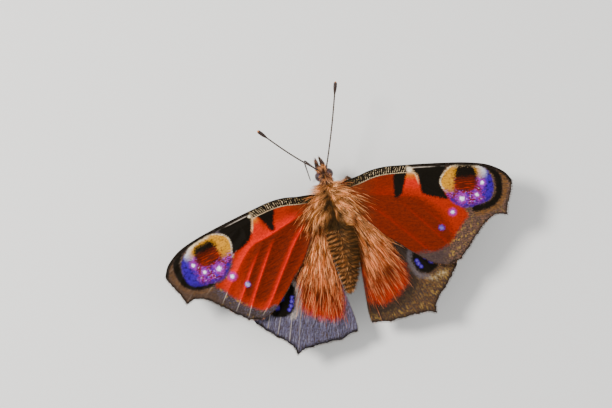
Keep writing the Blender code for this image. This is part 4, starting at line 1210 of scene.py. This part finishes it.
def eye_place(sign):
    """The middle of an eye in the body's frame, on the side that the sign gives."""
    return head_place((sign * EYE_OFFSET[0], *EYE_OFFSET[1:]))


def clear_of_eyes(points):
    """1 at each skin point outside both eyes, and 0 inside."""
    clear = np.ones(len(points))
    for sign in (-1, 1):
        away = (points - np.array(eye_place(sign))) / np.array(EYE_HALF)
        clear *= np.linalg.norm(away, axis=1) > EYE_CLEARANCE
    return clear


def body_finish(tone):
    """The skin under the hair: dark, with the coat's own markings and fine lines along its lie."""
    material, w, shader = new_material("body_skin", 0.65, 0.15)
    place = object_place(w)
    lines = w.stretched(place, (3.0, 0.5, 3.0), 2.2, 4.0)
    coat = coat_colours(w, tone, place, w.value("warm"), 0.0, w.value("mauve"))
    close_finish(w, shader, w.mix(tone.skin, coat, w.ramp(lines, 0.35, 0.7, 0.1, 0.6)), lines, 0.7, 0.08 * MM)
    return material


def body_values(points, normals):
    """The lie, length, lift, warmth and mauve share of the hair at each skin point; the warmth holds painted
    light and shade on the sides.
    """
    x, y = points[:, 0], points[:, 1]
    head, thorax, abdomen = skin_regions(points)
    right = x > 0
    side = np.clip(np.abs(x) / 2.1, 0, 1)
    out = np.sign(x) * np.clip(np.abs(x) / 1.4, 0, 1)
    shoulder = thorax * np.clip((y - 0.8) / 1.6, 0, 1)
    front = thorax * np.clip((y - 2.2) / 1.2, 0, 1)
    sway = 0.12 * np.sin(3.1 * x + 1.7 * y) + 0.1 * np.abs(x)
    ring = 0.5 + 0.5 * np.cos(2 * np.pi * ((ABDOMEN_START - y) / ABDOMEN_LENGTH * ABDOMEN_RINGS + sway))

    spread = thorax * np.where(right, 0.85, 0.45) + abdomen * 1.2 + head * 0.8 + shoulder * 0.8 + front * 0.7
    ahead = -1.0 + 0.5 * abdomen + shoulder * 0.5 + front * 0.3 + head * np.where(y > 5.9, 1.9, 0.2)
    lie = np.column_stack((out * spread, ahead, -0.35 * abdomen * side))
    lift = thorax * (0.4 - 0.15 * side) + front * 0.25 + abdomen * 0.35 + head * 0.8

    length_mm = thorax * (BACK_HAIR + FLANK_HAIR * side**1.5) + head * HEAD_HAIR
    length_mm += abdomen * (0.55 + 0.2 * ring + 0.45 * side)
    length_mm += shoulder * np.clip(np.abs(x), 0, 1) * np.where(right, 1.1, 0.6) + front * 0.5
    length_mm = np.where(normals[:, 2] < -0.2, BELLY_HAIR, length_mm)

    middle = np.exp(-((x - 0.1) / 1.35) ** 2)
    collar = np.clip((y - 1.8) / 1.2, 0, 1)
    dark = sum(np.exp(-(((x - px) ** 2 + (y - py) ** 2) / size**2)) for px, py, size in THORAX_DARK)
    # Painted light: the thorax's hair is brighter on its right side than on its left
    warm = thorax * (np.where(right, 1.0, 0.66) - 0.4 * middle * (1 - 0.6 * collar)) + head * 0.5
    warm -= thorax * 0.3 * np.clip((-1.2 - y) / 1.6, 0, 1)
    # Painted shade: the abdomen's rings darker towards its right side
    warm += abdomen * (0.05 + 0.55 * ring) * (1 - 0.35 * np.clip((x + 0.3) / 1.6, 0, 1))
    warm = np.clip(warm - 0.3 * dark * (1 - head), 0, 1)
    mauve = head * 0.35 + thorax * 0.85 * np.exp(-(((x - 1.7) / 0.8) ** 2 + ((y - 3.3) / 0.8) ** 2))
    return lie, length_mm, lift, warm, mauve


def body_unwrap(points):
    """The body's own unwrap: round its axis, and from tail to head."""
    x, y, z = points.T
    along = np.clip((ABDOMEN_START - y) / ABDOMEN_LENGTH, 0, 1)
    axis_z = STANDING_HEIGHT - ABDOMEN_DROP * along**2
    turn = np.arctan2(x, z - axis_z) / (2 * np.pi) + 0.5
    back_to_front = (y - BODY_TAIL) / BODY_SPAN
    return np.column_stack((0.05 + 0.9 * turn, 0.05 + 0.9 * back_to_front, np.zeros(len(points))))


# Coat


def strand_object():
    """One strand as a closed, tapered blade along +Y, one unit long and one wide; the coat arches it."""
    sides, rings = 3, 3
    points, faces, along = [], [], []
    for i in range(rings):
        t = i / rings
        half = 0.5 * (1 - t**1.5) * (0.8 + 0.2 * math.sin(math.pi * t))
        for k in range(sides):
            angle = 2 * math.pi * k / sides + math.pi / 2
            points.append((half * math.cos(angle), t, half * 0.6 * math.sin(angle)))
            along.append(t)
    points.append((0.0, 1.0, 0.0))
    along.append(1.0)
    for i in range(rings - 1):
        for k in range(sides):
            a, b = i * sides + k, i * sides + (k + 1) % sides
            faces.append((a, b, b + sides, a + sides))
    tail = (rings - 1) * sides
    for k in range(sides):
        faces.append((tail + k, tail + (k + 1) % sides, len(points) - 1))
    faces.append(tuple(reversed(range(sides))))
    bm = bmesh.new()
    verts = [bm.verts.new(p) for p in points]
    for face in faces:
        bm.faces.new([verts[i] for i in face])
    bmesh.ops.recalc_face_normals(bm, faces=bm.faces)
    mesh = mesh_from(bm, "strand")
    write_values(mesh, "along", along)
    patch = [(x * BAKE_PATCH, (y - 0.5) * BAKE_PATCH, 0.0) for x, y, _ in points]
    write_values(mesh, "patch", patch, "FLOAT_VECTOR")
    mesh.shade_smooth()
    return new_object("strand", mesh)


def coat_tree():
    """A node group that sets strands over a surface along its stored lie, and bends them."""
    if "coat" in bpy.data.node_groups:
        return bpy.data.node_groups["coat"]
    tree, w, given, out = group_tree(
        "coat", "GeometryNodeTree",
        [("Surface", "Geometry"), ("Strand", "Object"), ("Finish", "Material"), ("Density", "Float"),
         ("Width", "Float"), ("Spread", "Float"), ("Wave", "Float"), ("Seed", "Int")],
        [("Coat", "Geometry")])

    def named(name, kind="FLOAT"):
        return w.node("GeometryNodeInputNamedAttribute", {"data_type": kind},
                      {"Name": name}).outputs["Attribute"]

    def stored(geometry, name, value, kind="FLOAT", domain="INSTANCE"):
        return w.node("GeometryNodeStoreNamedAttribute", {"data_type": kind, "domain": domain},
                      {"Geometry": geometry, "Name": name, "Value": value}).outputs[0]

    def random_value(low, high, extra):
        node = w.node("FunctionNodeRandomValue", {"data_type": "FLOAT"},
                      {2: low, 3: high, "Seed": w.add(given["Seed"], extra)})
        return node.outputs[1]

    def drift(settings, inputs):
        """A noise vector between -0.5 and 0.5 on each axis."""
        noise = w.node("ShaderNodeTexNoise", settings, {"Vector": here, "Detail": 1.0, **inputs})
        return w.vector("SUBTRACT", noise.outputs["Color"], (0.5, 0.5, 0.5))

    scatter = w.node("GeometryNodeDistributePointsOnFaces", {"distribute_method": "RANDOM"},
                     {"Mesh": given["Surface"], "Seed": given["Seed"],
                      "Density": w.times(given["Density"], named("amount"))})
    here = w.node("GeometryNodeInputPosition").outputs[0]
    flow = w.vector("SCALE", drift(None, {"Scale": 850.0}), 3.5)
    stray = w.combine(random_value(-1, 1, 1), random_value(-1, 1, 2), random_value(-1, 1, 3))
    stray = w.vector("ADD", w.vector("SCALE", stray, 0.6), flow)
    lie = w.vector("ADD", w.vector("NORMALIZE", named("lie", "FLOAT_VECTOR")),
                   w.vector("SCALE", stray, given["Spread"]))
    lifted = w.vector("ADD", lie, w.vector("SCALE", scatter.outputs["Normal"], named("lift")))
    turn = w.node("FunctionNodeAxesToRotation", {"primary_axis": "Y", "secondary_axis": "Z"},
                  {"Primary Axis": lifted, "Secondary Axis": scatter.outputs["Normal"]})
    reach = w.times(named("length"), random_value(0.65, 1.15, 4))
    broad = w.times(given["Width"], random_value(0.65, 1.25, 6))
    strand = w.node("GeometryNodeObjectInfo", None, {"Object": given["Strand"]})
    grown = w.node("GeometryNodeInstanceOnPoints", None,
                   {"Points": scatter.outputs["Points"], "Instance": strand.outputs["Geometry"],
                    "Rotation": turn.outputs[0], "Scale": w.combine(broad, reach, broad)})
    tinted = stored(grown.outputs[0], "tint", random_value(0, 1, 5))
    rooted = stored(tinted, "root", here, "FLOAT_VECTOR")
    real = w.node("GeometryNodeRealizeInstances", None, {"Geometry": rooted})

    along = named("along")
    swing = drift({"noise_dimensions": "4D"}, {"W": w.times(named("tint"), 3.0), "Scale": 900.0})
    bend = w.vector("SCALE", swing, w.times(w.math("POWER", along, 1.5), given["Wave"], named("length")))
    arch = w.times(w.math("SINE", w.times(along, math.pi)), named("length"), 0.07)
    bend = w.vector("ADD", bend, w.combine(0.0, 0.0, arch))
    bent = w.node("GeometryNodeSetPosition", None, {"Geometry": real.outputs[0], "Offset": bend})
    patch = w.vector("ADD", named("root_uv", "FLOAT_VECTOR"), named("patch", "FLOAT_VECTOR"))
    baked = stored(bent.outputs[0], "OFBake", patch, "FLOAT2", "CORNER")
    finished = w.node("GeometryNodeSetMaterial", None, {"Geometry": baked, "Material": given["Finish"]})
    w.put(out["Coat"], finished.outputs[0])
    return tree


def grow_coat(name, slot, surface, finish, density, width, spread, wave, seed):
    """Sets strands over a guide surface and turns them into one plain mesh, a piece of its own."""
    tree = coat_tree()
    strand = strand_object()
    carrier = new_object(name, surface)
    modifier = carrier.modifiers.new("coat", "NODES")
    modifier.node_group = tree
    values = {"Strand": strand, "Finish": finish, "Density": density / MM**2, "Width": width,
              "Spread": spread, "Wave": wave, "Seed": seed}
    for item in tree.interface.items_tree:
        if item.in_out == "INPUT" and item.name in values:
            modifier[item.identifier] = values[item.name]
    mesh = evaluated_mesh(carrier)
    carrier.modifiers.clear()
    carrier.data = mesh
    bpy.data.objects.remove(strand)
    for label in ("lie", "length", "lift", "amount", "root_uv", "patch"):
        if label in mesh.attributes:
            mesh.attributes.remove(mesh.attributes[label])
    if "OFBake" not in mesh.uv_layers:
        raise RuntimeError(f"{name}: the coat has no OFBake map")
    finish_piece(carrier, slot, finish)


def store_hair(mesh, amount, lie, length_mm, lift, warm, reddish, mauve, unwrap):
    """Stores what the coat needs to know at each point of its guide surface."""
    count = len(mesh.vertices)
    for label, values in (("amount", amount), ("length", np.asarray(length_mm) * MM), ("lift", lift),
                          ("warm", warm), ("reddish", reddish), ("mauve", mauve)):
        write_values(mesh, label, np.broadcast_to(np.asarray(values, float), count))
    write_values(mesh, "lie", lie, "FLOAT_VECTOR")
    write_values(mesh, "root_uv", unwrap, "FLOAT_VECTOR")
    return mesh


def along_wing(name, flat, heading):
    """Hair that takes a heading in the wing's own frame: how it lies over the body at each point."""
    there = wing_to_body(name, flat + heading * 0.1)
    place = wing_to_body(name, flat)
    return np.column_stack((there - place, sheet_height(name, there) - sheet_height(name, place)))


def wing_unwrap(flat):
    """The unwrap of a wing's guide surfaces: its own plane."""
    return np.column_stack((0.02 + 0.96 * (flat + PLANE_OFFSET) / PLANE_SPAN, np.zeros(len(flat))))


def wing_guide(name):
    """A wing's upper face as a coarse surface, with the values of the long hair at its root."""
    kind, side = name.split("_")
    front, rim, back = wing_margins(name, GUIDE_STEP, GUIDE_STEP)
    outline = front[:-1] + rim + back
    low, high = np.min(outline, axis=0), np.max(outline, axis=0)
    grid = np.array([(gx, gy) for gx in np.arange(low[0], high[0], GUIDE_GRID)
                     for gy in np.arange(low[1], high[1], GUIDE_GRID)])
    grid = grid[inside(grid, outline) & (line_distance(grid, outline + outline[:1])[0] > GUIDE_MARGIN)]
    flat, faces = triangulated(outline + list(grid), ring_edges(len(outline)), len(outline))
    place = wing_to_body(name, flat)
    points = np.column_stack((place, sheet_height(name, place) + GUIDE_LIFT))
    mesh = mesh_of(name, points, facing(faces, side == "left"))
    x, y = flat.T
    if kind == "forewing":
        reach = np.hypot(x + 1.0, (y + 3.6) * 0.9)
        root = np.clip((-0.2 - x) / 0.9, 0, 1)
        thin = 0.6 if side == "right" else 0.9
        amount = thin * np.clip((5.2 - reach) / 4.2, 0, 1) * np.clip((-0.5 - y) / 0.8, 0, 1) + 2.0 * root
        heading = np.arctan2(y + 0.6, x + 4.5) - 0.3
        length_mm = 2.4 - 1.2 * root
        warm = 0.75 - 0.05 * reach
        reddish = np.clip((reach - 2.0) / 4.0, 0, 0.6)
    else:
        root = np.clip((2.2 - x) / 1.5, 0, 1)
        red = depth_inside(flat, HIND_MARKS[side]["red"])
        amount = np.clip((red + 0.6) / 1.4, 0, 1) * np.clip((16.0 - x) / 8.0, 0.0, 1.0) + root
        heading = np.arctan2(y + 0.6, x + 2.5) * 0.95
        length_mm = 3.2 - 1.2 * root
        # Painted shadow: the hair is darker along the inner edge, where the abdomen shades it, most on the
        # right hindwing
        shaded = 0.75 if side == "right" else 0.4
        warm = 1.0 - shaded * np.exp(-((line_distance(flat, back)[0] / 0.9) ** 2))
        reddish = np.clip((x - 0.5) / 12.0, 0.25, 1)
    lie = along_wing(name, flat, np.column_stack((np.cos(heading), np.sin(heading))))
    return store_hair(mesh, amount, lie, length_mm, 0.12 + 0.35 * root, warm, reddish, 0.0, wing_unwrap(flat))


def fringe_guide(name):
    """A narrow strip along a wing's outer margin, for the fringe of hair-like scales."""
    _, rim, back = wing_margins(name, RIM_STEP, RIM_STEP)
    rim = np.array(rim + back)
    count = len(rim)
    run = np.gradient(rim, axis=0)
    run /= np.linalg.norm(run, axis=1)[:, None]
    outward = np.column_stack((-run[:, 1], run[:, 0]))
    flat = np.vstack((rim - outward * 0.1, rim + outward * 0.02))
    place = wing_to_body(name, flat)
    faces = facing([(i, i + 1, i + 1 + count, i + count) for i in range(count - 1)], name.endswith("left"))
    mesh = mesh_of(name, np.column_stack((place, sheet_height(name, place))), faces)
    lie = along_wing(name, flat, np.tile(outward, (2, 1)))
    length_mm = np.where(np.tile(np.arange(count), 2) < count * 0.55, 0.34, 0.22)
    return store_hair(mesh, 1.0, lie, length_mm, 0.0, 0.22, 0.0, 0.3, wing_unwrap(flat))


def loft_guide(name, lofts, length_mm, lift, warm, mauve, lowest=0.0):
    """A guide surface over lofted parts, whose hair lies along each part and stays clear of the floor."""
    points, faces, lie, unwrap = [], [], [], []
    for number, (route, radii, sides) in enumerate(lofts):
        made, joined = loft(route, radii, sides)
        first = len(points)
        points += made
        faces += [tuple(first + i for i in face) for face in joined]
        for i in range(len(route)):
            lie += [tuple(run_at(route, i))] * sides
            unwrap += [(0.02 + 0.96 * (number + k / sides) / len(lofts), 0.02 + 0.96 * i / len(route), 0.0)
                       for k in range(sides)]
        lie += [(0, 0, 1)] * 2
        unwrap += [unwrap[-1]] * 2
    mesh = mesh_of(name, points, faces)
    amount = np.clip((np.array([p[2] for p in points]) - lowest) / 0.3, 0, 1)
    return store_hair(mesh, amount, lie, length_mm, lift, warm, 0.0, mauve, unwrap)


class BUTTERFLY_OT_body(bpy.types.Operator):
    """Build the skin of the head, thorax and abdomen, and the coat over it"""

    bl_idname = "butterfly.body"
    bl_label = "Body and coat"

    def execute(self, context):
        tone = context.scene.butterfly_colours
        sizes = context.scene.butterfly_coat
        skin = body_skin()
        points = points_of(skin.data)
        lie, length_mm, lift, warm, mauve = body_values(points, points_of(skin.data, "normal"))
        skin.data.vertices.foreach_set("co", to_frame(points).ravel())
        skin.data.update()
        skin.data.shade_smooth()
        bare = skin.data.copy()
        write_values(skin.data, "warm", warm)
        write_values(skin.data, "mauve", mauve)
        finish_piece(skin, "body", body_finish(tone), "head", "thorax", "abdomen")
        fur = fur_finish("body_hair", tone)
        ringed = fur_finish("abdomen_hair", tone, 0.4)
        head, thorax, abdomen = skin_regions(points)
        for name, share, finish, density, spread, wave in (
                ("head_hair", head * clear_of_eyes(points), fur, sizes.head, 0.45, 0.5),
                ("thorax_hair", thorax, fur, sizes.thorax, 0.34, 0.55),
                ("abdomen_hair", abdomen, ringed, sizes.abdomen, 0.14, 0.3)):
            guide = store_hair(bare.copy(), np.clip(share, 0, 1), lie, length_mm, lift, warm, 0.0, mauve,
                               body_unwrap(points))
            grow_coat(name, "body", guide, finish, density, sizes.strand, spread, wave, sizes.seed)
        for wing in WING_PLACES:
            slot = wing.split("_")[0]
            grow_coat(f"{wing}_hair", slot, wing_guide(wing), fur, sizes.wing, sizes.strand, 0.16, 0.3,
                      sizes.seed + 3)
            grow_coat(f"{wing}_fringe", slot, fringe_guide(wing), fur, sizes.fringe, sizes.strand * 0.8, 0.12,
                      0.1, sizes.seed + 5)
        return {"FINISHED"}


# Eyes, feelers, mouth and legs


class BUTTERFLY_OT_eyes(bpy.types.Operator):
    """Build the two faceted eyes"""

    bl_idname = "butterfly.eyes"
    bl_label = "Eyes"

    def execute(self, context):
        tone = context.scene.butterfly_colours
        material, w, shader = new_material("eye_facets", 0.38, 0.4)
        place = object_place(w)
        base = w.mix(tone.eye, tone.black, w.ramp(w.noise(place, 2.2), 0.4, 0.65))
        close_finish(w, shader, base, w.cells(place, 14.0, "Distance"), 0.5, 0.03 * MM, invert=True)
        for side, sign in (("left", -1), ("right", 1)):
            bm = bmesh.new()
            egg_mesh(bm, eye_place(sign), EYE_HALF, HEAD_TURN, 32, 20)
            mesh = mesh_from(bm, f"eye_{side}")
            mesh.vertices.foreach_set("co", to_frame(points_of(mesh)).ravel())
            mesh.shade_smooth()
            finish_piece(new_object(f"eye_{side}_ball", mesh), "eye", material, f"eye_{side}")
        return {"FINISHED"}


class BUTTERFLY_OT_feelers(bpy.types.Operator):
    """Build the two ringed feelers with their clubs"""

    bl_idname = "butterfly.feelers"
    bl_label = "Feelers"

    def execute(self, context):
        tone = context.scene.butterfly_colours
        material, w, shader = new_material("feeler_rings", 0.45, 0.4)
        run = w.value("run")
        ring = w.ramp(w.math("FRACT", w.times(run, FEELER_RINGS)), 0.75, 0.9)
        base = w.mix(tone.horn, tone.tan, ring, w.ramp(run, 15.0, 12.0, 0.0, 0.6))
        w.put(shader.inputs["Base Color"], w.mix(base, tone.fur, w.ramp(w.value("share"), 0.985, 1.0)))
        for side in ("left", "right"):
            root, tip, bow = (Vector(v) for v in ANTENNAE[side])
            span = (tip - root).length
            shares = [i / (FEELER_STEPS - 1) for i in range(FEELER_STEPS)]
            route, radii = [], []
            for t in shares:
                route.append(root.lerp(tip, t) + bow * math.sin(math.pi * t))
                swell = math.sin(math.pi * 0.5 * min(1.0, max(0.0, t - CLUB_START) / CLUB_SLOPE))
                end = math.sqrt(max(0.0, 1 - max(0.0, (t - CLUB_END) / (1 - CLUB_END)) ** 2))
                ripple = 0.012 * math.sin(2 * math.pi * t * span * FEELER_RINGS)
                radii.append(max(0.02, (FEELER_RADIUS + CLUB_SWELL * swell + ripple) * max(end, 0.15)))
            lofted_piece(f"antenna_{side}_shaft", f"antenna_{side}", "feeler", material, route, radii, 10,
                         {"run": [t * span for t in shares], "share": shares})
        return {"FINISHED"}


class BUTTERFLY_OT_mouth(bpy.types.Operator):
    """Build the palps and the tongue"""

    bl_idname = "butterfly.mouth"
    bl_label = "Palps and tongue"

    def execute(self, context):
        tone = context.scene.butterfly_colours
        coat = context.scene.butterfly_coat
        palp = mottled_finish("palp_scales", tone.fur_dark, tone.mauve, 0.7, 6.0, 0.8)
        lofts = []
        for side, sign in (("left", -1), ("right", 1)):
            route = along_route([head_place((sign * x, y, z)) for x, y, z in PALP_ROUTE], 0.15)
            count = len(route)
            radii = [PALP_RADIUS * (0.85 + 0.25 * math.sin(math.pi * i / count)) * (1 - (i / count)**3) + 0.03
                     for i in range(count)]
            lofts.append((route, radii, 12))
            lofted_piece(f"palp_{side}_scaled", f"palp_{side}", "body", palp, *lofts[-1])
        grow_coat("palp_hair", "body", loft_guide("palp_hair", lofts, 0.55, 0.22, 0.3, 0.5),
                  bpy.data.materials["body_hair"], coat.head, coat.strand * 0.8, 0.18, 0.25, coat.seed)
        horn, w, shader = new_material("tongue_horn", 0.32, 0.4)
        ridges = w.math("SINE", w.times(w.value("share"), 420.0))
        ridged = w.mix(tone.horn, tone.black, w.ramp(ridges, 0.0, 1.0, 0.0, 0.5))
        # Painted highlight: pale violet on the tongue near its root, where it catches the light
        painted_root_highlight = w.ramp(w.value("share"), 0.34, 0.16)
        w.put(shader.inputs["Base Color"], w.mix(ridged, w.mix(tone.mauve, tone.white, 0.45), painted_root_highlight))
        route = along_route([head_place(p) for p in TONGUE_ROUTE], 0.12)
        radii = [TONGUE_RADIUS * (1 - 0.5 * i / len(route)) for i in range(len(route))]
        lofted_piece("tongue", "proboscis", "tongue", horn, route, radii, 10,
                     {"share": np.linspace(0, 1, len(route))})
        return {"FINISHED"}


def leg_route(joints, sizes):
    """A leg's route and radii: each part swells in its middle and narrows at its joint."""
    route, radii = [], []
    for (a, b), (ra, rb) in zip(zip(joints, joints[1:]), zip(sizes, sizes[1:])):
        a, b = Vector(a), Vector(b)
        steps = max(4, round((b - a).length / LEG_STEP))
        for t in [i / steps for i in range(steps)]:
            route.append(a.lerp(b, t))
            pinch = 1 - 0.18 * math.exp(-(t / 0.12) ** 2)
            radii.append((ra + (rb - ra) * t) * pinch * (1 + 0.12 * math.sin(math.pi * t)))
    route.append(Vector(joints[-1]))
    radii.append(sizes[-1] * 0.6)
    return [Vector((p.x, p.y, max(p.z, r + FLOOR_GAP))) for p, r in zip(route, radii)], radii


class BUTTERFLY_OT_legs(bpy.types.Operator):
    """Build the walking legs and the small forelegs"""

    bl_idname = "butterfly.legs"
    bl_label = "Legs"

    def execute(self, context):
        tone = context.scene.butterfly_colours
        coat = context.scene.butterfly_coat
        material = mottled_finish("leg_scales", tone.brown, tone.tan, 0.6, 5.0, 0.7)
        lofts = []
        for name, joints in LEG_ROUTES.items():
            sizes = WALKING_LEG_RADII if name.startswith("leg") else FORELEG_RADII
            lofts.append((*leg_route(joints, sizes), 12))
            lofted_piece(f"{name}_scaled", name, "leg", material, *lofts[-1])
        grow_coat("leg_bristles", "leg", loft_guide("leg_bristles", lofts, 0.42, 0.5, 0.4, 0.2, 0.55),
                  bpy.data.materials["body_hair"], coat.bristle, coat.strand * 0.7, 0.15, 0.1, coat.seed)
        return {"FINISHED"}


# Stage


class BUTTERFLY_OT_stage(bpy.types.Operator):
    """Set up the pale floor, the soft lights and the camera"""

    bl_idname = "butterfly.stage"
    bl_label = "Stage"

    def execute(self, context):
        sizes = context.scene.butterfly_stage
        floor = bpy.data.meshes.new("floor")
        corners = [(x * FLOOR_REACH, y * FLOOR_REACH, 0) for x, y in ((-1, -1), (1, -1), (1, 1), (-1, 1))]
        floor.from_pydata(corners, [], [(0, 1, 2, 3)])
        material, _, shader = new_material("floor", 0.9, 0.1)
        shader.inputs["Base Color"].default_value = (*sizes.floor, 1.0)
        floor.materials.append(material)
        new_object("floor", floor)
        world = bpy.data.worlds.new("studio")
        world.use_nodes = True
        world.node_tree.nodes["Background"].inputs["Color"].default_value = SKY_COLOUR
        world.node_tree.nodes["Background"].inputs["Strength"].default_value = SKY_STRENGTH
        context.scene.world = world
        for name, place, width in LIGHTS:
            light = bpy.data.lights.new(name, "AREA")
            light.shape = "DISK"
            light.size = width
            light.energy = getattr(sizes, f"{name}_power")
            lamp = new_object(name, light)
            lamp.location = place
            lamp.rotation_euler = (-Vector(place)).to_track_quat("-Z", "Y").to_euler()
        camera = bpy.data.cameras.new("camera")
        camera.lens = sizes.lens
        camera.sensor_width = CAMERA_SENSOR
        camera.clip_start, camera.clip_end = CAMERA_CLIP
        eye = new_object("camera", camera)
        flat = math.cos(sizes.elevation)
        away = Vector((math.sin(sizes.azimuth) * flat, -math.cos(sizes.azimuth) * flat,
                       math.sin(sizes.elevation)))
        eye.location = CAMERA_TARGET + away * sizes.distance
        eye.rotation_euler = (-away).to_track_quat("-Z", "Y").to_euler()
        context.scene.camera = eye
        return {"FINISHED"}


class BUTTERFLY_PT_panel(bpy.types.Panel):
    """Lists the steps that build the butterfly"""

    bl_label = "Peacock butterfly"
    bl_space_type = "VIEW_3D"
    bl_region_type = "UI"
    bl_category = "Butterfly"

    def draw(self, context):
        for step in STEPS:
            self.layout.operator(step.bl_idname)


STEPS = (BUTTERFLY_OT_wings, BUTTERFLY_OT_body, BUTTERFLY_OT_eyes, BUTTERFLY_OT_feelers, BUTTERFLY_OT_mouth,
         BUTTERFLY_OT_legs, BUTTERFLY_OT_stage)
GROUPS = {"butterfly_wings": ButterflyWingSizes, "butterfly_coat": ButterflyCoatSizes,
          "butterfly_colours": ButterflyColours, "butterfly_stage": ButterflyStageSizes}


def register():
    for group in GROUPS.values():
        bpy.utils.register_class(group)
    for step in (*STEPS, BUTTERFLY_PT_panel):
        bpy.utils.register_class(step)
    for name, group in GROUPS.items():
        setattr(bpy.types.Scene, name, PointerProperty(type=group))


def unregister():
    for name in GROUPS:
        delattr(bpy.types.Scene, name)
    for item in (BUTTERFLY_PT_panel, *reversed(STEPS), *GROUPS.values()):
        bpy.utils.unregister_class(item)


def main():
    register()
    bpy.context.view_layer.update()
    for step in STEPS:
        group, name = step.bl_idname.split(".")
        getattr(getattr(bpy.ops, group), name)()


if __name__ == "__main__":
    main()
